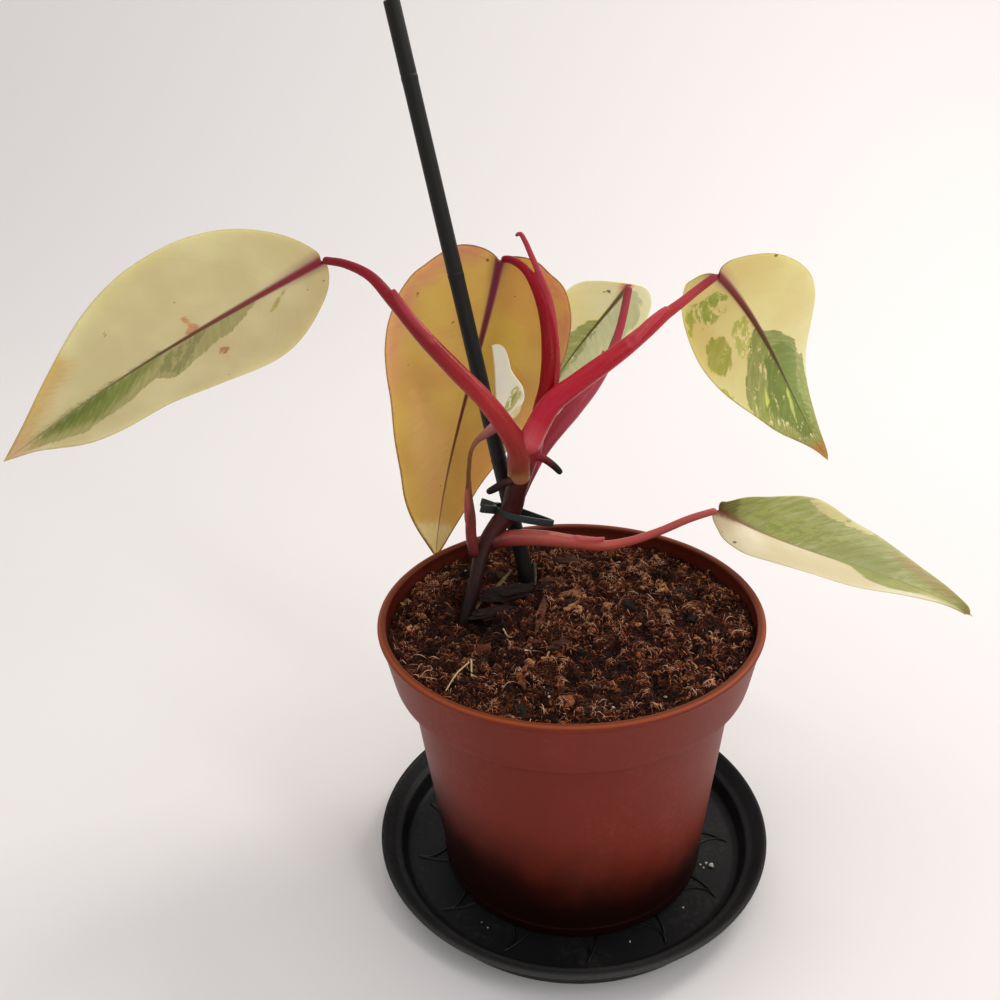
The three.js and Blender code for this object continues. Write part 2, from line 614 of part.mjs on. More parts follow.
for (const [name, blade] of Object.entries(BLADES)) {
  const stalk = stalkSolid(STALKS[blade.stalk], GAP);
  addPiece(name, toGeometry(cutBy(bladeSolid(blade), [stalk])), COLOURS[name]);
}

export default plant;
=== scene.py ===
import math
from functools import partial

import bmesh
import bpy
import numpy as np
from bpy.props import FloatProperty, FloatVectorProperty, IntProperty, PointerProperty
from bpy.types import Operator, Panel, PropertyGroup
from mathutils import Matrix, Vector, noise


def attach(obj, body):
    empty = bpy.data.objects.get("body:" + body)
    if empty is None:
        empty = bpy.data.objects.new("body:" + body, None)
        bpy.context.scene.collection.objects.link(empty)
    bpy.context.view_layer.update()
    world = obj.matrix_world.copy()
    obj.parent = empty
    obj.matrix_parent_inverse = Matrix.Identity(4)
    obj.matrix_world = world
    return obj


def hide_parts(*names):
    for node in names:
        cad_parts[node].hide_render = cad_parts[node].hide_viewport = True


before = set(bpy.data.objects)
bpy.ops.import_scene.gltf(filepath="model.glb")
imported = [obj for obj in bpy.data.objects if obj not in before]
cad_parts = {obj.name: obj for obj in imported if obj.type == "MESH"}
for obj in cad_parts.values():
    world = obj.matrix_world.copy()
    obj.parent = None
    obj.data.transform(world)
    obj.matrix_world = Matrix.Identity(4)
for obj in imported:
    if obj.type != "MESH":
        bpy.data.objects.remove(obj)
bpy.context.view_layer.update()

bl_info = {
    "name": "Potted philodendron",
    "version": (1, 0, 0),
    "blender": (4, 5, 0),
    "location": "View3D > Sidebar > Plant",
    "description": "Builds a clipped, climbing philodendron in a nursery pot on its saucer",
    "category": "Add Mesh",
}

MM = 0.001  # every shape is drawn in millimetres and scaled to metres when it is finished
CAP_RINGS = (0.0, 0.15, 0.45, 0.8)  # rings of a tube's round end, in radii from its tip


# Colours and nodes

def linear(text):
    """The linear colour of an sRGB hex value."""
    parts = [int(text[i:i + 2], 16) / 255 for i in (1, 3, 5)]
    return tuple(c / 12.92 if c <= 0.04045 else ((c + 0.055) / 1.055) ** 2.4 for c in parts)


def rgba(colour):
    """A shader colour from a hex value or from a setting."""
    return (*(linear(colour) if isinstance(colour, str) else colour), 1.0)


def shade(colour, share):
    """A setting's colour, lighter or darker by a share."""
    return tuple(min(c * share, 1.0) for c in colour)


# Settings that many nodes share.
SOFT = {"interpolation_type": "SMOOTHSTEP"}
TIMES = {"operation": "MULTIPLY"}
TIMES_PLUS = {"operation": "MULTIPLY_ADD"}
LESS = {"operation": "SUBTRACT"}


def add(tree, kind, *values, out=0, stops=None, **named):
    """Adds a node with its settings and links, and returns one of its outputs.

    The values, which may be other nodes' outputs, go to the input sockets in order. A name that starts with
    a capital is a socket, and any other is a setting of the node. stops are a ramp's colours.
    """
    node = tree.nodes.new("ShaderNode" + kind)
    order = range(len(values))
    if kind == "Mix":  # a mix of colours has sockets and an output of its own
        node.data_type = "RGBA"
        order, out = (0, 6, 7), 2
    inputs = dict(zip(order, values))
    for key, value in named.items():
        if key[0].isupper():
            inputs[key] = value
        else:
            setattr(node, key, value)
    for key, value in inputs.items():
        if isinstance(value, bpy.types.NodeSocket):
            tree.links.new(value, node.inputs[key])
        else:
            node.inputs[key].default_value = value
    if stops:
        ramp = node.color_ramp.elements
        while len(ramp) < len(stops):
            ramp.new(0.5)
        for element, (position, colour) in zip(ramp, stops):
            element.position = position
            element.color = rgba(colour)
    return node.outputs[out] if node.outputs else None


def start_material(name):
    """A new material, and the function that adds a node to it."""
    material = bpy.data.materials.new(name)
    material.use_nodes = True
    material.node_tree.nodes.clear()
    return material, partial(add, material.node_tree)


def close_material(node, colour, values, normal=None):
    """Ends a material in the shader. values are constants or outputs by socket name."""
    if normal is not None:
        values = {**values, "Normal": normal}
    node("OutputMaterial", node("BsdfPrincipled", colour, **values))


# Bringing a drawn shape into the scene

def written(bm, name):
    """A drawn mesh as mesh data. The drawing is freed."""
    mesh = bpy.data.meshes.new(name)
    bm.to_mesh(mesh)
    bm.free()
    return mesh


def in_scene(name, data):
    """A new object of the scene, at the origin."""
    thing = bpy.data.objects.new(name, data)
    bpy.context.scene.collection.objects.link(thing)
    return thing


def finish_piece(bm, name, materials, nodes=(), sharp=None):
    """Writes a mesh drawn in mm as a piece that rides on the body and stands for the CAD nodes.

    Edges sharper than the angle sharp, in degrees, stay crisp.
    """
    bmesh.ops.scale(bm, vec=(MM, MM, MM), verts=bm.verts)
    mesh = written(bm, name)
    mesh.shade_smooth()
    if sharp is not None:
        mesh.set_sharp_from_angle(angle=math.radians(sharp))
    for material in materials:
        mesh.materials.append(material)
    piece = in_scene(name, mesh)
    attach(piece, "root")
    if nodes:
        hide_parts(*nodes)


def with_modifiers(bm, *modifiers):
    """Runs modifiers on a drawn mesh and gives the result back as a new bmesh. Each is (kind, settings)."""
    mesh = written(bm, "draft")
    draft = in_scene("draft", mesh)
    for kind, settings in modifiers:
        modifier = draft.modifiers.new(kind.lower(), kind)
        for key, value in settings.items():
            setattr(modifier, key, value)
    graph = bpy.context.evaluated_depsgraph_get()
    result = bmesh.new()
    result.from_object(draft, graph)
    bpy.data.objects.remove(draft)
    bpy.data.meshes.remove(mesh)
    return result


def round_edges(bm, edges, radius, segments):
    """Bevels edges to a round."""
    bmesh.ops.bevel(
        bm, geom=edges, offset=radius, segments=segments, profile=0.5, affect="EDGES", material=-1,
        clamp_overlap=True,
    )


# Turned shapes, tubes and curves

def rounded(profile, radius, cuts=4):
    """An open line of (r, z) points with its inner corners rounded."""
    points = [np.array(p, float) for p in profile]
    line = [points[0]]
    for before, corner, after in zip(points, points[1:], points[2:]):
        to_before = before - corner
        to_after = after - corner
        reach_before = min(radius, 0.45 * np.linalg.norm(to_before))
        reach_after = min(radius, 0.45 * np.linalg.norm(to_after))
        start = corner + to_before / np.linalg.norm(to_before) * reach_before
        end = corner + to_after / np.linalg.norm(to_after) * reach_after
        for t in np.linspace(0, 1, cuts):
            line.append((1 - t) ** 2 * start + 2 * t * (1 - t) * corner + t * t * end)
    line.append(points[-1])
    return line


def turned(profile, steps):
    """A closed shape of revolution about Z."""
    bm = bmesh.new()
    verts = [bm.verts.new((max(r, 0.0), 0, z)) for r, z in profile]
    edges = [bm.edges.new(pair) for pair in zip(verts, verts[1:])]
    whole = {"cent": (0, 0, 0), "axis": (0, 0, 1), "angle": 2 * math.pi, "use_merge": True}
    bmesh.ops.spin(bm, geom=verts + edges, steps=steps, **whole)
    bmesh.ops.remove_doubles(bm, verts=bm.verts, dist=1e-4)
    bmesh.ops.recalc_face_normals(bm, faces=bm.faces)
    return bm


def smooth_curve(points, shares):
    """Points on a centripetal Catmull-Rom curve at shares from 0 to 1."""
    points = np.asarray(points, float)
    padded = np.vstack([2 * points[0] - points[1], points, 2 * points[-1] - points[-2]])
    place = np.clip(np.asarray(shares, float) * (len(points) - 1), 0, len(points) - 1 - 1e-9)
    segment = place.astype(int)
    t = (place - segment)[:, None]
    p0, p1, p2, p3 = (padded[segment + k] for k in range(4))
    d0, d1, d2 = (
        np.sqrt(np.linalg.norm(b - a, axis=1, keepdims=True)) for a, b in ((p0, p1), (p1, p2), (p2, p3))
    )
    m1 = ((p1 - p0) / d0 - (p2 - p0) / (d0 + d1) + (p2 - p1) / d1) * d1
    m2 = ((p2 - p1) / d1 - (p3 - p1) / (d1 + d2) + (p3 - p2) / d2) * d1
    cubic = 2 * p1 - 2 * p2 + m1 + m2
    square = -3 * p1 + 3 * p2 - 2 * m1 - m2
    return p1 + m1 * t + square * t ** 2 + cubic * t ** 3


def run_along(line):
    """How far along a line each of its points lies."""
    return np.concatenate([[0], np.cumsum(np.linalg.norm(np.diff(line, axis=0), axis=1))])


def tube_rings(stops, spacing):
    """Centres, radii, sides and normals of the rings of a tube with round ends, from [x, y, z, radius]."""
    stops = np.asarray(stops, float)
    fine = np.linspace(0, 1, 400)
    line = smooth_curve(stops[:, :3], fine)
    run = run_along(line)
    length = run[-1]
    count = max(4, int(length / spacing))
    at = list(np.linspace(0, length, count + 1))
    first, last = stops[0, 3], stops[-1, 3]
    at = [first * c for c in CAP_RINGS] + [d for d in at if first < d < length - last]
    at += [length - last * c for c in reversed(CAP_RINGS)]
    at = np.array(at)
    share = np.interp(at, run, fine)
    centre = smooth_curve(stops[:, :3], share)
    radius = np.interp(share * (len(stops) - 1), np.arange(len(stops)), stops[:, 3])
    near_start = np.clip(1 - at / first, 0, 1)
    near_end = np.clip(1 - (length - at) / last, 0, 1)
    radius = radius * np.sqrt(np.clip(1 - near_start ** 2, 0, 1))
    radius *= np.sqrt(np.clip(1 - near_end ** 2, 0, 1))
    tangent = np.gradient(line, axis=0)
    tangent = np.stack([np.interp(share, fine, tangent[:, k]) for k in range(3)], axis=1)
    tangent /= np.linalg.norm(tangent, axis=1, keepdims=True)
    normal = np.cross(tangent[0], (1.0, 0.0, 0.0))
    normals = []
    for direction in tangent:
        normal = normal - direction * normal.dot(direction)
        normal /= np.linalg.norm(normal)
        normals.append(normal)
    normals = np.array(normals)
    return centre, radius, np.cross(tangent, normals), normals


def add_tube(bm, stops, sides=16, spacing=1.2, squash=1.0):
    """Draws a closed tube from a grid that is wrapped round a curve."""
    centre, radius, side, normal = tube_rings(stops, spacing)
    rows = len(centre) - 1
    verts = bmesh.ops.create_grid(bm, x_segments=rows, y_segments=sides, size=1)["verts"]
    for vert in verts:
        row = round((vert.co.x + 1) / 2 * rows)
        turn = math.pi * (vert.co.y + 1)
        out = side[row] * math.cos(turn) + normal[row] * math.sin(turn) * squash
        vert.co = centre[row] + out * radius[row]
    bmesh.ops.remove_doubles(bm, verts=verts, dist=1e-4)


def float_layer(bm, name, values):
    """Stores one number for each vertex, in the order of the vertices."""
    layer = bm.verts.layers.float.new(name)
    for vert, value in zip(bm.verts, values):
        vert[layer] = float(value)


def vector_layer(bm, name, values):
    """Stores one vector for each vertex, in the order of the vertices."""
    layer = bm.verts.layers.float_vector.new(name)
    for vert, value in zip(bm.verts, values):
        vert[layer] = Vector(value)


def places(bm):
    """Where the vertices are."""
    return np.array([vert.co for vert in bm.verts])


# Sizes shared by the pieces, in millimetres, from the part's own drawing

SAUCER_PROFILE = [
    (0, 0), (9, 0), (10, 2.5), (78.2, 2.5), (79.2, 0), (83, 0), (84, 2), (85.6, 9.4), (88.2, 10.6),
    (92.2, 14.2), (93.7, 15.6), (93.5, 16.8), (92.8, 17.2), (91.6, 16.9), (87, 12.4), (84.2, 11.4),
    (81.4, 5.4), (78.6, 4.2), (0, 4.2),
]
POT_PROFILE = [
    (0, 6.5), (57, 6.5), (58.4, 4.5), (62.3, 4.5), (62.7, 9.1), (62.2, 9.8), (73.1, 107.9), (73.9, 108.7),
    (76.8, 108.7), (79.4, 110.4), (80.2, 113.6), (84, 133.6), (85, 134.4), (85, 135.6), (84.3, 136.2),
    (81.8, 136.2), (81.2, 135.5), (81.4, 132.8), (77.8, 110.3), (71.5, 108.7), (60.7, 9.9), (59.1, 8.3),
    (0, 8.3),
]
SAUCER_FLOOR = 4.2
RAY_START = -85.5  # degrees
RAY_INNER = 58.5
RAY_OUTER = 76.5
RAY_SPREAD = 6.0
RAY_CURL = 2.4
# Grit that lies on the saucer's floor: x, y, size.
SPILT_GRIT = [
    (66.5, -19.4, 1.3), (64.2, -17.6, 0.7), (61.3, -18.6, 0.6), (62.6, -20.6, 0.5), (50.4, -44.8, 0.5),
    (25.2, -64.2, 0.45), (-38, -58, 0.35), (-41, -55, 0.3),
]
DRAIN_HOLES = 8
DRAIN_CIRCLE = 46
DRAIN_RADIUS = 4
SOIL_SIDE = [(0, 8.6), (58.8, 8.6), (60.4, 10.2), (71.2, 109), (77.5, 110.6), (80.4, 128.5)]
SOIL_TOP = 130
SOIL_RADIUS = 80.6
WALL_INSIDE = 80  # no fibre reaches past this radius into the pot's wall
FIBRE_SPREAD = 79
FIBRE_LIFT = 0.5  # above the soil's top
CANE_FOOT = Vector((-19.7, 38.6, 127))
CANE_TIP = Vector((-70.3, 73.6, 383))
CANE_BURIED = 112
CANE_KNOTS = (95, 176, 262, 345)
CANE_RADIUS = 3.8
CANE_TAPER = 0.3
STEM_STOPS = [
    [-53, -2, 92, 2.4], [-51, 2, 112, 2.8], [-48.4, 5, 124, 3], [-45, 9.5, 134, 3.1],
    [-42.3, 14.5, 143, 3.2], [-39, 22.5, 154.5, 3.6], [-32.3, 30, 163, 4.4], [-26.4, 34, 168.5, 5],
    [-23.8, 34, 178, 5], [-21.4, 34, 186, 5.2], [-18, 34.5, 194.5, 4.8], [-15.4, 35, 201, 4.8],
    [-13.6, 36, 206.5, 3.8],
]
# The stem's bark from the soil up, old and dark to young and red.
STEM_COLOURS = [
    (0.0, "#0e0806"), (0.3, "#140a07"), (0.48, "#2d1610"), (0.6, "#401813"), (0.7, "#3a1614"),
    (0.8, "#401917"), (0.85, "#5a1a1c"), (0.9, "#842228"), (1.0, "#92262e"),
]
ROOT_STOPS = [
    [[-16.5, 33.5, 196, 2.2], [-11.5, 32.8, 195, 1.9], [-6.5, 32.4, 191.5, 1.75], [-2.6, 32, 187.3, 1.5]],
    [[-24.5, 31, 185.4, 2], [-28.5, 28.8, 184.6, 2], [-33, 27.6, 182.4, 1.9], [-36.8, 27, 180.6, 1.5]],
]

# Each stalk: its main rod, its sheath, and the colours along it from the stem to the blade.
STALKS = {
    "petiole_right": {
        "main": [
            [-19.4, 33.6, 197, 4.2], [-17, 32.6, 202.4, 5.6], [-6.9, 33, 220.4, 5.1],
            [4.1, 36, 228.4, 4.6], [15.5, 40, 235.5, 4.4], [25.7, 45, 241.5, 4], [36, 51, 248, 3.4],
            [44, 57, 252.8, 2.6], [51.2, 62, 256.6, 2.3], [58.7, 67, 261, 2.1], [67.8, 70.6, 266.7, 1.9],
        ],
        "sheath": [
            [28, 44, 244, 2.6], [36, 49.5, 251, 2], [41.5, 54, 254.6, 1.5], [44.6, 56.5, 256.6, 0.8],
        ],
        # The pale pink at 0.07 is a painted highlight at the crotch; the stop at 0.25 is lightened as a
        # painted highlight along the top.
        "colours": [
            (0, "#96383a"), (0.07, "#d4585e"), (0.16, "#be2538"), (0.25, "#b62134"), (0.6, "#ad1b27"),
            (0.85, "#b23a40"), (1, "#94303a"),
        ],
    },
    "petiole_left": {
        "main": [
            [-23.2, 33.8, 181.6, 4.2], [-22, 33.1, 186.4, 5.5], [-21.8, 32, 193, 5.5],
            [-22, 31, 200.7, 5.3], [-28.5, 30, 213.5, 4.7], [-36.6, 31, 224.5, 4.2],
            [-47.6, 34, 235.6, 4.1], [-61.7, 39, 250, 3.7], [-75.4, 45, 265.2, 2.9],
            [-84.9, 49, 275, 2.4], [-96.1, 52.5, 279.8, 2], [-106.6, 55.2, 281.2, 1.8],
        ],
        "sheath": [
            [-58, 37, 248.5, 2.4], [-66, 40, 257.5, 2], [-72, 43, 266, 1.5], [-74.6, 45, 270.2, 0.8],
        ],
        "colours": [
            (0, "#b0905c"), (0.035, "#9c6b45"), (0.07, "#83402a"), (0.14, "#962b27"), (0.3, "#a8282a"),
            (0.6, "#831d21"), (0.85, "#8c1a24"), (1, "#7a1422"),
        ],
    },
    "petiole_middle": {
        "main": [
            [-16.4, 36, 195, 3.6], [-14.6, 37, 202.4, 4.3], [-10.6, 38, 218.7, 4], [-8.7, 39.5, 226, 3.8],
            [-7.4, 44, 239.8, 3.7], [-9, 53, 254.5, 3.1], [-13.6, 61, 266.5, 2.4], [-18.5, 66, 273.1, 2],
            [-24.5, 69.8, 276.2, 1.8], [-29, 71.8, 276, 1.7],
        ],
        "sheath": [
            [-6.5, 39, 222, 1.4], [-4, 42, 231, 1.4], [-4.6, 48.5, 247, 1.4], [-7.4, 57, 262, 1.5],
            [-12.4, 63, 273, 1.5], [-15.2, 65.5, 279, 1.4], [-17.8, 66.5, 285, 1.3],
            [-20, 66.5, 288.4, 1.1], [-22, 66.5, 286.8, 0.8],
        ],
        "colours": [
            (0, "#940c18"), (0.2, "#8c000e"), (0.6, "#86000c"), (0.85, "#960c1c"), (1, "#7e0c20"),
        ],
    },
    "petiole_rear": {
        "main": [
            [-22.8, 40, 171, 2.4], [-17.6, 42, 183.5, 3.1], [-11.2, 46.5, 194.4, 3.6],
            [2.3, 51.5, 210.4, 4.1], [11.6, 58, 219.5, 3.3], [19.4, 68, 229, 2.6], [25, 79, 240, 2.1],
            [28.6, 89, 251.5, 2], [30, 94, 257.4, 2],
        ],
        "sheath": [
            [11, 56.5, 220.5, 2], [15, 61.5, 227.5, 1.7], [16.6, 64, 231.4, 1.3], [17.2, 66, 234.6, 0.8],
        ],
        "colours": [(0, "#7c2830"), (0.2, "#a8404c"), (0.5, "#b04652"), (0.8, "#a83c44"), (1, "#983640")],
    },
    "petiole_lower": {
        "main": [
            [-37.8, 23.6, 156.6, 3.9], [-31.5, 27.6, 156.6, 4], [-24, 30.6, 155.8, 4],
            [-10.9, 34, 153.6, 3.8], [2.7, 37, 150, 3.3], [17.1, 40, 146.4, 2.6],
            [29.7, 42.5, 147.5, 2.2], [43.5, 44.5, 151.6, 2], [57, 45.5, 157.4, 1.9],
            [70, 46, 161.6, 1.7],
        ],
        "sheath": [
            [2, 36, 152.5, 2], [9, 37.5, 151, 1.7], [14.5, 38.8, 150.4, 1.3], [17.6, 39.4, 151, 0.8],
        ],
        "colours": [
            (0, "#3c1416"), (0.1, "#8a3834"), (0.25, "#b2564a"), (0.45, "#bc5446"), (0.7, "#bc5650"),
            (1, "#bc5c54"),
        ],
    },
    "petiole_new": {
        "main": [
            [-42.5, 18.5, 152, 2.5], [-44, 20, 162, 2.6], [-44, 22, 170.5, 2.5], [-44.7, 26, 180, 1.8],
            [-44.7, 29, 186.2, 1.2], [-44.4, 32, 192, 1.1], [-43.4, 35, 198, 1.1],
            [-41, 37.6, 201.6, 1.3], [-37.6, 39.4, 203.8, 2], [-34, 41.2, 206, 2.6],
            [-30.6, 44, 208.8, 2.2],
        ],
        "sheath": [
            [-45, 20.8, 168, 1.8], [-45.4, 22.5, 175, 1.5], [-45.6, 24, 180, 1.1], [-45.6, 25, 183, 0.7],
        ],
        "colours": [
            (0, "#4a1c1e"), (0.15, "#792727"), (0.3, "#5b2419"), (0.45, "#643913"), (0.7, "#73441c"),
            (0.82, "#9c6450"), (0.95, "#c0787a"), (1, "#d0a090"),
        ],
    },
}

REAR_MARGIN = [
    (0, 0), (0, 0.1), (0.02, 0.4), (0.06, 0.62), (0.12, 0.82), (0.2, 0.95), (0.3, 1), (0.4, 0.95),
    (0.5, 0.8), (0.6, 0.6), (0.7, 0.39), (0.8, 0.2), (0.9, 0.08), (1, 0),
]
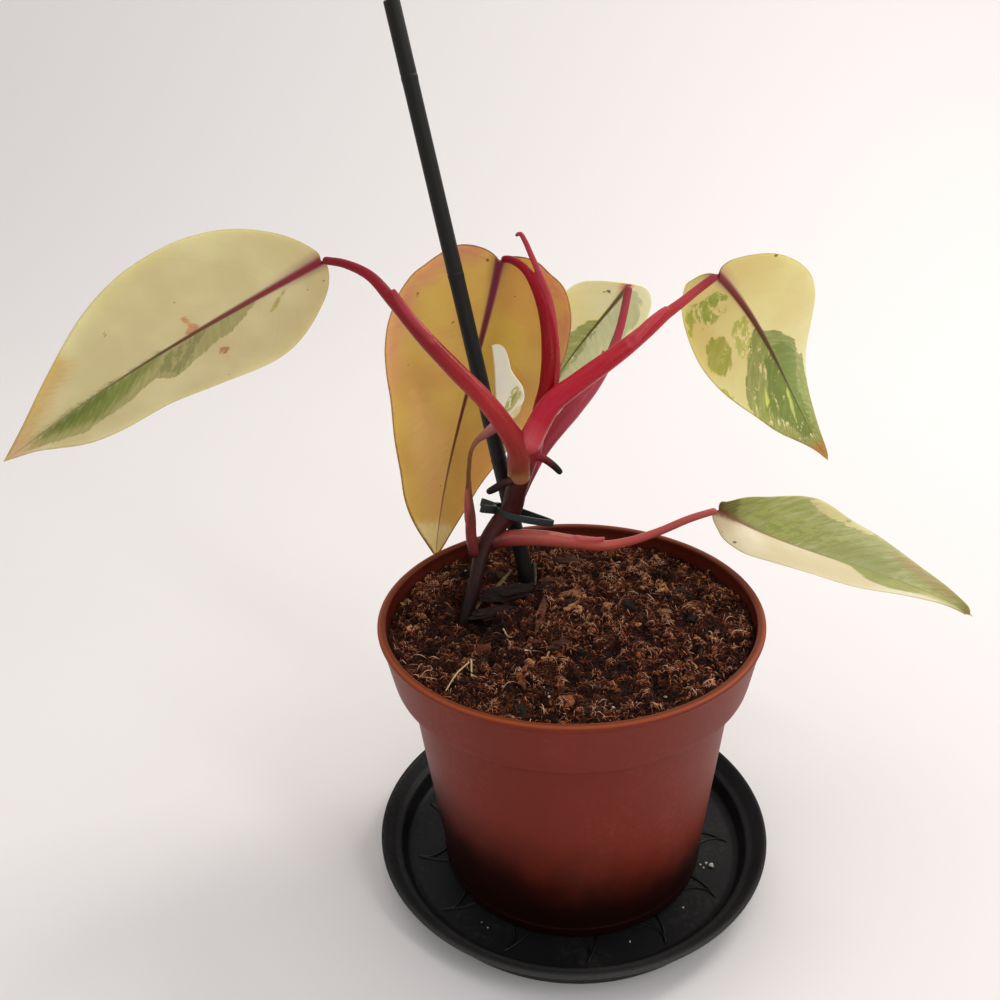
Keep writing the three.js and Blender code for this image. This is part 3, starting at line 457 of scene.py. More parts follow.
# Each blade. midrib, face, width, twist, fold, cup and waves as in the part's drawing.
# minus and plus: the margin on each side, as shares of length and half width, from the stalk to the tip.
# under and upper: two close tones for each side. margin: colour, strength and width in mm of the dry edge.
# patches: outline in the same shares, colour, softness and raggedness of the edge in mm, share covered.
# spots: place, radius in mm. rib: colours along the midrib. blush: how far its red spreads at the base.
BLADES = {
    "blade_left": {
        "midrib": [[-107.3, 55.5, 281.2], [-161, 52, 255], [-208.5, 62.5, 231.5], [-252.7, 17.7, 202.9]],
        "face": [-0.4, 0.86, 0.31], "width": 82, "twist": -5, "fold": 5, "cup": 8, "waves": [1.2, 2, 0.4],
        "minus": [
            (0, 0), (-0.005, 0.07), (0, 0.16), (0.02, 0.33), (0.05, 0.49), (0.1, 0.67), (0.15, 0.8),
            (0.2, 0.89), (0.27, 0.97), (0.34, 1), (0.42, 0.99), (0.5, 0.93), (0.6, 0.815), (0.7, 0.65),
            (0.8, 0.45), (0.9, 0.225), (0.96, 0.09), (1, 0),
        ],
        "plus": [
            (0, 0), (-0.005, 0.07), (0, 0.15), (0.02, 0.3), (0.05, 0.45), (0.1, 0.62), (0.15, 0.76),
            (0.2, 0.87), (0.27, 0.965), (0.33, 0.99), (0.4, 0.975), (0.48, 0.9), (0.55, 0.8),
            (0.6, 0.735), (0.66, 0.7), (0.72, 0.67), (0.78, 0.6), (0.83, 0.49), (0.88, 0.32),
            (0.93, 0.15), (0.97, 0.06), (1, 0),
        ],
        "under": ("#d9d1a8", "#cfc69a"), "upper": ("#d6cd98", "#c9c088"),
        "patches": [
            ([(0.2, 0), (0.21, 0.06), (0.28, 0.18), (0.32, 0.25), (0.37, 0.26), (0.42, 0.31),
             (0.45, 0.34), (0.5, 0.39), (0.54, 0.4), (0.57, 0.26), (0.6, 0.28), (0.66, 0.34),
             (0.72, 0.35), (0.75, 0.31), (0.79, 0.37), (0.87, 0.22), (0.95, 0.04), (0.6, 0)], "#aaa669",
             0.4, 1.2, 1),
            ([(0.36, 0.04), (0.42, 0.14), (0.46, 0.3), (0.52, 0.36), (0.55, 0.2), (0.5, 0.04)],
             "#95945d", 0.6, 2.2, 0.6),
            ([(0.5, 0), (0.57, 0.1), (0.64, 0.2), (0.75, 0.3), (0.82, 0.2), (0.9, 0.03), (0.93, 0)],
             "#849040", 2.5, 2, 1),
            ([(0.66, 0), (0.7, 0.1), (0.78, 0.14), (0.84, 0.1), (0.9, 0)], "#717f34", 2.5, 1.6, 1),
            ([(0.12, 0.1), (0.15, 0.13), (0.18, 0.2), (0.2, 0.28), (0.18, 0.26), (0.15, 0.17)],
             "#b0ac5e", 0.5, 1, 1),
            ([(0.38, -0.24), (0.4, -0.22), (0.395, -0.1), (0.42, -0.04), (0.4, 0), (0.37, -0.04),
             (0.385, -0.14)], "#c99262", 0.6, 0.5, 1),
            ([(0.36, 0.42), (0.38, 0.36), (0.4, 0.46), (0.39, 0.56), (0.37, 0.5)], "#b68a50", 0.4, 0.8,
             0.5),
            ([(0.72, -0.8), (0.93, -0.25), (1, 0), (0.92, 0), (0.84, -0.2), (0.7, -0.45)], "#cdb273", 6,
             2, 1),
        ],
        "spots": [
            (0.38, -0.42, 0.8), (0.56, -0.76, 0.6), (0.58, -0.53, 0.9), (0.585, -0.51, 0.6),
            (0.69, -0.6, 0.4), (0.03, 0.25, 0.5), (0.08, 0.25, 0.5), (0.15, 0.8, 0.6), (0.43, 0.83, 0.5),
            (0.5, -0.3, 0.35),
        ],
        "tip": "#cfae8a", "margin": ("#8c7a40", 0.6, 0.9), "blush": 0.4,
        "rib": [
            (0, "#8c1a2a"), (0.15, "#8c2c32"), (0.3, "#7e3c2c"), (0.45, "#6c4628"), (0.6, "#6e6034"),
            (1, "#8c8450"),
        ],
        "rib_width": 2.5,
    },
    "blade_middle": {
        "midrib": [[-29.5, 72, 275.7], [-43, 87, 221], [-66.7, 77.5, 166.5], [-69.5, 70.5, 114.5]],
        "face": [0.08, 0.94, 0.33], "width": 92, "twist": -26, "fold": 10, "cup": 8, "waves": [1, 2, 1.6],
        "minus": [
            (0, 0), (-0.015, 0.1), (-0.02, 0.22), (-0.015, 0.35), (0, 0.47), (0.04, 0.62), (0.08, 0.74),
            (0.13, 0.87), (0.2, 0.96), (0.28, 0.99), (0.35, 0.96), (0.42, 0.88), (0.5, 0.76), (0.6, 0.64),
            (0.7, 0.5), (0.76, 0.43), (0.81, 0.345), (0.86, 0.23), (0.9, 0.12), (0.93, 0.04), (0.945, 0),
        ],
        "plus": [
            (0, 0), (-0.015, 0.1), (-0.018, 0.22), (-0.01, 0.36), (0.02, 0.52), (0.06, 0.72),
            (0.12, 0.86), (0.18, 0.94), (0.26, 0.99), (0.34, 0.985), (0.43, 0.93), (0.52, 0.8),
            (0.6, 0.65), (0.7, 0.46), (0.8, 0.3), (0.86, 0.19), (0.9, 0.115), (0.93, 0.05), (0.945, 0),
        ],
        "under": ("#d6bb61", "#cfab5a"), "upper": ("#c9a765", "#b99350"),
        "patches": [
            ([(-0.1, -0.1), (0, -0.75), (0.1, -1.1), (0.3, -1.2), (0.5, -1.1), (0.7, -0.8), (0.6, -0.7),
             (0.45, -0.75), (0.3, -0.8), (0.15, -0.75), (0.06, -0.5), (0.02, -0.2)], "#d39f78", 5, 3, 1),
            ([(0.4, 0.9), (0.5, 0.45), (0.62, 0.25), (0.8, 0.2), (0.84, 0.4), (0.6, 0.8), (0.45, 1)],
             "#ddb066", 5, 3, 1),
            ([(-0.1, 0.3), (0, 0.8), (0.1, 1.1), (0.3, 1.15), (0.4, 1), (0.3, 0.85), (0.12, 0.75),
             (0.03, 0.4)], "#cc9468", 4, 3, 1),
            ([(0.45, -0.55), (0.6, -0.45), (0.84, -0.1), (0.84, 0.12), (0.7, 0.05), (0.55, -0.1)],
             "#dbb874", 6, 3, 1),
            ([(0.84, -0.3), (0.95, -0.1), (0.97, 0.1), (0.86, 0.25), (0.83, 0.02)], "#e5d8a6", 3, 2, 1),
            ([(0.12, -0.05), (0.45, -0.03), (0.45, 0.3), (0.2, 0.4)], "#ceb653", 6, 3, 1),
        ],
        "spots": [
            (0.17, -0.75, 1), (0.18, -0.745, 0.7), (0.01, -0.12, 0.8), (0.2, -0.34, 0.6),
            (0.22, -0.33, 0.7), (0.25, -0.28, 0.6), (0.26, -0.28, 0.7), (0.225, -0.26, 0.5),
            (0.24, -0.31, 0.45), (0.21, -0.3, 0.4), (0.38, -0.67, 0.5), (0.41, -0.65, 0.45),
            (0.6, -0.06, 0.45), (0.72, -0.14, 0.45), (0.74, -0.14, 0.4), (0.1, 0.23, 0.4),
            (0.14, 0.28, 0.45), (0.33, -0.5, 0.35), (0.5, -0.6, 0.4), (0.47, 0.3, 0.35),
        ],
        "tip": "#e7eaab", "margin": ("#64281a", 1, 1.3), "blush": 0.25,
        "rib": [
            (0, "#7c1834"), (0.12, "#7c2034"), (0.3, "#702424"), (0.5, "#6a3018"), (0.75, "#74451e"),
            (1, "#96683a"),
        ],
        "rib_width": 2.3, "specked": 0.45,
    },
    "blade_right": {
        "midrib": [[68.2, 71, 267.1], [96, 90, 238], [108, 88.5, 201], [131.8, 94, 166]],
        "face": [-0.54, -0.03, 0.84], "width": 65, "twist": 4, "fold": 9, "cup": 3,
        "waves": [0.8, 2, 2.4],
        "minus": [
            (0, 0), (-0.02, 0.1), (-0.025, 0.22), (-0.015, 0.38), (0, 0.52), (0.04, 0.67), (0.1, 0.83),
            (0.17, 0.93), (0.25, 0.98), (0.33, 0.985), (0.4, 0.95), (0.5, 0.87), (0.6, 0.755),
            (0.68, 0.64), (0.75, 0.48), (0.82, 0.3), (0.88, 0.17), (0.94, 0.07), (0.98, 0.025), (1, 0),
        ],
        "plus": [
            (0, 0), (-0.02, 0.1), (-0.025, 0.24), (-0.01, 0.4), (0.015, 0.56), (0.05, 0.72), (0.1, 0.85),
            (0.17, 0.94), (0.25, 0.99), (0.33, 1), (0.42, 0.985), (0.5, 0.93), (0.57, 0.82), (0.64, 0.66),
            (0.7, 0.5), (0.76, 0.35), (0.82, 0.22), (0.88, 0.13), (0.94, 0.08), (0.98, 0.04), (1, 0),
        ],
        "under": ("#e6dba4", "#dfd094"), "upper": ("#e0d6a4", "#d6ca92"),
        "patches": [
            ([(0.3, 0), (0.33, 0.05), (0.37, 0.21), (0.44, 0.38), (0.48, 0.47), (0.53, 0.47),
             (0.57, 0.62), (0.62, 0.6), (0.71, 0.5), (0.79, 0.34), (0.95, 0.03), (0.97, 0), (0.8, 0)],
             "#919b50", 0.4, 1.2, 1),
            ([(0.3, 0), (0.34, -0.2), (0.42, -0.39), (0.49, -0.58), (0.55, -0.72), (0.61, -0.77),
             (0.69, -0.63), (0.8, -0.36), (0.93, -0.1), (0.97, 0), (0.6, 0)], "#979f50", 0.4, 1.6, 0.82),
            ([(0.42, 0), (0.46, -0.16), (0.54, -0.31), (0.61, -0.51), (0.66, -0.46), (0.74, -0.3),
             (0.85, -0.12), (0.85, 0.05), (0.66, 0.2), (0.56, 0.4), (0.5, 0.42), (0.42, 0.22)], "#7d8e3f",
             1.2, 2.4, 0.9),
            ([(0.28, -0.79), (0.26, -0.65), (0.28, -0.48), (0.34, -0.46), (0.4, -0.61), (0.41, -0.81),
             (0.36, -0.88)], "#adb050", 0.5, 1.8, 0.8),
            ([(0.1, -0.73), (0.18, -0.8), (0.22, -0.69), (0.21, -0.48), (0.17, -0.2), (0.11, -0.11),
             (0.08, -0.18), (0.1, -0.46)], "#a7b856", 0.5, 1.8, 0.62),
            ([(0.08, -0.9), (0.16, -0.98), (0.24, -0.9), (0.2, -0.8), (0.1, -0.76)], "#b2bb5b", 0.6, 1.8,
             0.5),
            ([(0.44, -0.93), (0.46, -0.81), (0.5, -0.84), (0.49, -0.93)], "#b5b057", 0.5, 1, 0.8),
            ([(0.23, -0.07), (0.29, -0.07), (0.4, -0.28), (0.4, -0.42), (0.32, -0.4), (0.25, -0.3)],
             "#bec267", 0.8, 2, 0.55),
            ([(0.53, -0.33), (0.6, -0.42), (0.61, -0.51), (0.57, -0.44)], "#d7de76", 0.5, 1, 1),
            ([(0.6, -0.03), (0.68, -0.07), (0.76, -0.16), (0.7, -0.16), (0.62, -0.08)], "#cbd474", 0.5,
             0.8, 1),
            ([(0.88, -0.3), (0.92, 0.2), (1.02, 0.1), (1.02, -0.1)], "#c29748", 2.5, 1.2, 1),
        ],
        "spots": [(0.07, 0.75, 0.9), (0.06, 0.78, 0.6)], "tip": "#b37445",
        "margin": ("#7a6a34", 0.6, 0.9), "blush": 0.25,
        "rib": [
            (0, "#8c2a34"), (0.12, "#84362e"), (0.3, "#6a3a28"), (0.45, "#5c4426"), (0.7, "#66602c"),
            (1, "#8a7440"),
        ],
        "rib_width": 2.4,
    },
    "blade_rear": {
        "midrib": [[30.1, 94.8, 258.1], [18.3, 115, 235.6], [-6.4, 111, 213], [-16.5, 108.4, 183.3]],
        "face": [-0.31, 0.95, -0.02], "width": 47, "twist": 2, "fold": 6, "cup": 6,
        "waves": [0.6, 2, 0.8],
        "minus": REAR_MARGIN,
        "plus": REAR_MARGIN,
        "under": ("#faf6d8", "#f8f2c8"), "upper": ("#e6deb8", "#dccfa0"),
        "patches": [
            ([(0.02, 0.04), (0.2, 0.03), (0.6, 0.02), (0.95, 0.02), (0.9, 0.1), (0.6, 0.5), (0.4, 0.75),
             (0.2, 0.76), (0.1, 0.5), (0.04, 0.2)], "#cad2b2", 0.6, 1.6, 1),
            ([(0.3, -0.02), (0.33, -0.15), (0.38, -0.25), (0.5, -0.4), (0.7, -0.3), (0.95, 0),
             (0.7, 0.04)], "#adbc7b", 0.6, 1.6, 1),
            ([(0.3, 0), (0.36, 0.1), (0.5, 0.14), (0.7, 0.06), (0.7, 0)], "#a3b279", 0.8, 1.6, 0.7),
            ([(-0.05, -0.2), (0.05, -0.15), (0.05, 0.1), (-0.05, 0.2)], "#f7d0a4", 1.8, 1, 1),
        ],
        "spots": [(0.12, -0.34, 0.7), (0.1, -0.27, 1), (0.11, -0.22, 0.6)], "tip": "#f9ed9e",
        "margin": ("#f6e7ab", 0.4, 0.6), "blush": 0.3,
        "rib": [(0, "#a05050"), (0.1, "#7c6c36"), (0.4, "#767434"), (1, "#8a8654")], "rib_width": 1.5,
    },
    "blade_lower": {
        "midrib": [[70.6, 46, 161.7], [104, 36.6, 141.2], [153, 27, 138.6], [184.5, 21, 118.4]],
        "face": [-0.85, 0.15, 0.5], "width": 62, "twist": 0, "fold": 14, "cup": 7, "waves": [0.8, 2, 3],
        "minus": [
            (0, 0), (-0.012, 0.1), (-0.01, 0.2), (0.02, 0.27), (0.06, 0.37), (0.1, 0.47), (0.15, 0.6),
            (0.2, 0.74), (0.25, 0.86), (0.3, 0.95), (0.36, 1), (0.42, 0.97), (0.5, 0.88), (0.6, 0.79),
            (0.7, 0.61), (0.8, 0.42), (0.88, 0.29), (0.93, 0.19), (0.97, 0.08), (1, 0),
        ],
        "plus": [
            (0, 0), (-0.012, 0.08), (0, 0.16), (0.03, 0.25), (0.06, 0.37), (0.1, 0.51), (0.15, 0.67),
            (0.2, 0.77), (0.3, 0.92), (0.4, 0.985), (0.5, 0.955), (0.6, 0.84), (0.7, 0.62), (0.8, 0.38),
            (0.88, 0.2), (0.94, 0.09), (1, 0),
        ],
        "under": ("#c0b594", "#b5a67e"), "upper": ("#d7ccb0", "#cec09b"),
        "patches": [
            ([(-0.05, 0), (-0.05, -0.3), (0.1, -0.7), (0.3, -1.2), (0.6, -1.1), (1.1, -0.3), (1.0, 0.03),
             (0.82, 0.12), (0.73, 0.36), (0.65, 0.52), (0.58, 0.5), (0.52, 0.06), (0.4, 0), (0.2, -0.01)],
             "#8d9246", 0.5, 1.2, 1),
            ([(0.32, -0.92), (0.36, -0.8), (0.4, -0.77), (0.44, -0.76), (0.53, -0.73), (0.6, -0.74),
             (0.56, -0.84), (0.49, -0.99), (0.4, -1.05)], "#c2bb87", 0.6, 2, 0.9),
            ([(0.1, -0.2), (0.3, -0.5), (0.5, -0.55), (0.7, -0.3), (0.66, 0.1), (0.6, 0.4), (0.57, 0.1),
             (0.5, -0.03)], "#848b3d", 4, 4, 1),
            ([(0.05, -0.1), (0.2, -0.5), (0.45, -0.6), (0.6, -0.6), (0.4, -0.2), (0.2, -0.05)],
             "#989e4d", 3, 4, 0.5),
            ([(0.66, -0.5), (0.73, -0.5), (0.82, -0.3), (0.95, -0.15), (0.86, -0.12), (0.74, -0.3)],
             "#9b834d", 3, 1.5, 1),
            ([(0.8, 0), (0.95, 0), (0.9, 0.15), (0.82, 0.2), (0.76, 0.3)], "#b0ab6e", 2, 1.5, 1),
            ([(-0.05, -0.4), (0.05, -0.35), (0.07, 0.03), (-0.05, 0.1)], "#6e6a33", 1.6, 1, 1),
        ],
        "spots": [(0.1, 0.42, 0.9), (0.26, 0.12, 0.6)], "tip": "#757342",
        "margin": ("#7e794c", 0.55, 0.7), "blush": 0.3,
        "rib": [(0, "#8e4a3c"), (0.1, "#98784e"), (0.5, "#a09458"), (0.8, "#8a8848"), (1, "#7a7240")],
        "rib_width": 1.1,
    },
    "blade_new": {
        "midrib": [[-30.3, 44.5, 209.3], [-34.6, 52, 215.5], [-31.5, 63, 228.5], [-34.8, 69.5, 237]],
        "face": [0.65, 0.72, 0], "width": 31, "twist": 0, "fold": 35, "cup": 4, "waves": [0.3, 2, 0],
        "minus": [
            (0, 0), (-0.06, 0.14), (-0.1, 0.35), (-0.08, 0.58), (-0.02, 0.72), (0.05, 0.8), (0.15, 0.86),
            (0.25, 0.9), (0.35, 0.88), (0.45, 0.78), (0.55, 0.62), (0.65, 0.5), (0.75, 0.46),
            (0.85, 0.42), (0.93, 0.34), (0.98, 0.2), (1, 0),
        ],
        "plus": [
            (0, 0), (-0.05, 0.14), (-0.07, 0.35), (-0.04, 0.55), (0.04, 0.72), (0.12, 0.8), (0.2, 0.84),
            (0.3, 0.85), (0.4, 0.8), (0.5, 0.7), (0.6, 0.62), (0.7, 0.56), (0.8, 0.5), (0.9, 0.4),
            (0.96, 0.26), (1, 0),
        ],
        "under": ("#faf2de", "#faeed0"), "upper": ("#eadfc8", "#e2d3b4"),
        "patches": [
            ([(0.02, -0.3), (0.04, -0.5), (0.16, -0.72), (0.26, -0.84), (0.42, -0.72), (0.36, -0.55),
             (0.2, -0.36), (0.1, -0.22)], "#bdbd6e", 0.3, 1.4, 0.62),
            ([(0.06, -0.36), (0.2, -0.6), (0.3, -0.72), (0.3, -0.6), (0.16, -0.38)], "#a3a957", 0.3, 1.2,
             0.5),
            ([(-0.12, -0.4), (-0.02, -0.4), (0.04, -0.7), (0, -0.8), (-0.12, -0.7)], "#ebde9c", 1, 1, 1),
            ([(0.4, 0.05), (0.7, 0.05), (0.75, 0.4), (0.4, 0.7)], "#d5c48d", 1.5, 1.2, 1),
            ([(0.86, 0.1), (0.97, 0.05), (1, 0.2), (0.9, 0.5)], "#8e6839", 0.6, 0.6, 1),
        ],
        "spots": [], "tip": "#f9f9c4", "margin": ("#f9cda4", 0.45, 0.6), "blush": 0.3,
        "rib": [(0, "#c98f7c"), (0.3, "#d8bf98"), (1, "#cdb287")], "rib_width": 0.9,
    },
}
BLADE_THICKNESS = 0.8
RIB_AT_TIP = 0.25
RIB_RELIEF = 0.55
ROWS_WIDEST = 0.4  # share of a blade's rows that lies below its widest place
ROOT_WIDEST = 0.1815  # where the row of the widest place leaves the midrib, as a share of the length
PLUS_SIDE_SHIFT = 1.3  # the waves of the two margins differ by this much, in radians


# Blades

def cubic(corners, t):
    """Points and directions on a cubic curve."""
    a, b, c, d = (np.asarray(p, float) for p in corners)
    t = np.asarray(t, float)[:, None]
    point = (1 - t) ** 3 * a + 3 * (1 - t) ** 2 * t * b + 3 * (1 - t) * t ** 2 * c + t ** 3 * d
    way = (1 - t) ** 2 * (b - a) + 2 * (1 - t) * t * (c - b) + t ** 2 * (d - c)
    return point, way / np.linalg.norm(way, axis=1, keepdims=True)


def blade_length(blade):
    """The length of a blade's midrib in mm."""
    line, _ = cubic(blade["midrib"], np.linspace(0, 1, 500))
    return float(run_along(line)[-1])


def place_on_blade(blade, along, across, lift):
    """Points of a flat leaf laid on its bent midrib: mm along it, across it and out of the blade."""
    fine = np.linspace(0, 1, 800)
    line, _ = cubic(blade["midrib"], fine)
    run = run_along(line)
    share = np.clip(along / run[-1], 0, 1)
    centre, tangent = cubic(blade["midrib"], np.interp(share * run[-1], run, fine))
    centre = centre + tangent * np.minimum(along, 0)[:, None]
    face = np.array(blade["face"], float)
    normal = face - tangent * (tangent @ face)[:, None]
    normal /= np.linalg.norm(normal, axis=1, keepdims=True)
    turn = math.radians(blade["twist"]) * share[:, None]
    normal = normal * np.cos(turn) + np.cross(tangent, normal) * np.sin(turn)
    side = np.cross(tangent, normal)
    away = np.abs(across)
    half = blade["width"] / 2
    fold = math.radians(blade["fold"])
    bend = math.radians(blade["cup"]) / half
    slope = fold + bend * away
    reach = (np.sin(slope) - math.sin(fold)) / bend
    rise = (math.cos(fold) - np.cos(slope)) / bend
    height, count, phase = blade["waves"]
    shifted = phase + np.where(across > 0, PLUS_SIDE_SHIFT, 0.0)
    ripple = height * (away / half) ** 2 * np.sin(2 * math.pi * count * share + shifted)
    sideways = np.sign(across) * (reach - lift * np.sin(slope))
    upwards = rise + ripple + lift * np.cos(slope)
    return centre + side * sideways[:, None] + normal * upwards[:, None]


def margin_line(points, rows):
    """The margin at each row, with the widest place always at the same row."""
    points = np.array(points, float)
    widest = int(np.argmax(points[:, 1]))
    run = run_along(points)
    knots = np.where(
        run <= run[widest],
        ROWS_WIDEST * run / run[widest],
        ROWS_WIDEST + (1 - ROWS_WIDEST) * (run - run[widest]) / (run[-1] - run[widest]),
    )
    fine = np.linspace(0, 1, 600)
    line = smooth_curve(points, fine)
    place = np.interp(fine * (len(points) - 1), np.arange(len(points)), knots)
    return np.stack([np.interp(rows, place, line[:, k]) for k in range(2)], axis=1)


def distance_to_outline(outline, spots):
    """Distance in mm from each spot to an outline, positive inside it."""
    outline = np.asarray(outline, float)
    nearest = np.full(len(spots), 1e9)
    inside = np.zeros(len(spots), bool)
    for start, end in zip(outline, np.roll(outline, -1, axis=0)):
        edge = end - start
        share = np.clip(((spots - start) @ edge) / max(edge @ edge, 1e-9), 0, 1)
        nearest = np.minimum(nearest, np.linalg.norm(spots - start - share[:, None] * edge, axis=1))
        crosses = (start[1] > spots[:, 1]) != (end[1] > spots[:, 1])
        at = start[0] + (spots[:, 1] - start[1]) * edge[0] / (edge[1] if edge[1] else 1e-9)
        inside ^= crosses & (spots[:, 0] < at)
    return np.where(inside, nearest, -nearest)


def draw_blade(blade, settings):
    """A closed leaf: a grid wrapped over both its faces, with a rib, veins and colour patches."""
    length = blade_length(blade)
    half = blade["width"] / 2
    rows = int(length / (settings.cell / MM))
    columns = 2 * int(half / (settings.cell / MM)) + 8
    bm = bmesh.new()
    grid = bmesh.ops.create_grid(bm, x_segments=rows, y_segments=2 * columns, size=1)["verts"]
    flat = np.array([(v.co.x, v.co.y) for v in grid])
    u = (flat[:, 0] + 1) / 2
    round_trip = (flat[:, 1] + 1) * 2  # 0 to 2 over the upper side, 2 to 4 back under it
    upper = round_trip <= 2
    sweep = np.where(upper, round_trip - 1, 3 - round_trip)
    # Columns lie closer to each other near the rib and the margin.
    out = np.abs(sweep)
    across_share = np.sign(sweep) * (0.35 * out + 0.65 * np.sin(out * math.pi / 2) ** 1.6)
    minus = margin_line(blade["minus"], u)
    plus = margin_line(blade["plus"], u)
    margin = np.where((across_share < 0)[:, None], minus, plus)
    tip = blade["minus"][-1][0]
    low = ROOT_WIDEST * (np.minimum(u, ROWS_WIDEST) / ROWS_WIDEST) ** 1.5
    high = ROOT_WIDEST + (tip - ROOT_WIDEST) * (u - ROWS_WIDEST) / (1 - ROWS_WIDEST)
    root = np.where(u <= ROWS_WIDEST, low, high)
    away = np.abs(across_share)
    along = (root + (margin[:, 0] - root) * away) * length
    across = across_share * margin[:, 1] * half
    width_here = margin[:, 1] * half
    # Thickness is rounded off at the margin and thins towards the base and the tip.
    body = np.minimum(BLADE_THICKNESS / 2, 0.05 + 0.12 * width_here)
    body *= np.sqrt(np.clip(1 - away ** 10, 0, 1))
    share = np.clip(along / length, 0, 1)
    rib_half = blade["rib_width"] * (1 - share) ** 2 + RIB_AT_TIP
    rib_shape = np.exp(-(across / (0.8 * rib_half)) ** 2)
    rib_height = RIB_RELIEF * rib_half * rib_shape * np.clip(width_here / 3, 0, 1)
    # Side veins leave the midrib evenly and bend towards the tip on their way out.
    phase = root * length / (settings.vein_spacing / MM) - 0.9 * away ** 2
    swell = settings.vein_relief / MM * np.cos(2 * math.pi * phase)
    swell *= np.clip(away * 3, 0, 1) * (1 - away ** 4)
    # The blade is uneven by up to 0.4 mm, over about 22 mm.
    drift = np.array([noise.noise(Vector((a / 22, b / 22, half))) for a, b in zip(along, across)])
    lift = swell + 0.4 * drift * np.clip(away * 2, 0, 1)
    lift = lift + np.where(upper, body - 0.25 * rib_shape * (1 - share), -body - rib_height)
    spot = place_on_blade(blade, along, across, lift)
    for vert, place in zip(grid, spot):
        vert.co = place
    bm.verts.index_update()
    float_layer(bm, "share", share)
    float_layer(bm, "vein", phase)
    float_layer(bm, "rib", np.abs(across) / rib_half)
    float_layer(bm, "to_margin", (1 - away) * width_here)
    float_layer(bm, "upper", upper & (away < 0.999))
    flat_place = np.stack([along, across], axis=1)
    vector_layer(bm, "grain", np.stack([phase, away * half / 14, np.sign(across_share) * 3], axis=1))
    for number, (outline, *_) in enumerate(blade["patches"]):
        outline = np.array(outline, float) * (length, half)
        float_layer(bm, f"patch_{number}", distance_to_outline(outline, flat_place))
    dots = np.full(len(along), -9.0)
    for s, v, radius in blade["spots"]:
        reach = np.linalg.norm(flat_place - (s * length, v * half), axis=1)
        dots = np.maximum(dots, radius - reach)
    float_layer(bm, "spots", dots)
    bmesh.ops.remove_doubles(bm, verts=bm.verts, dist=0.004)
    bmesh.ops.recalc_face_normals(bm, faces=bm.faces)
    return bm


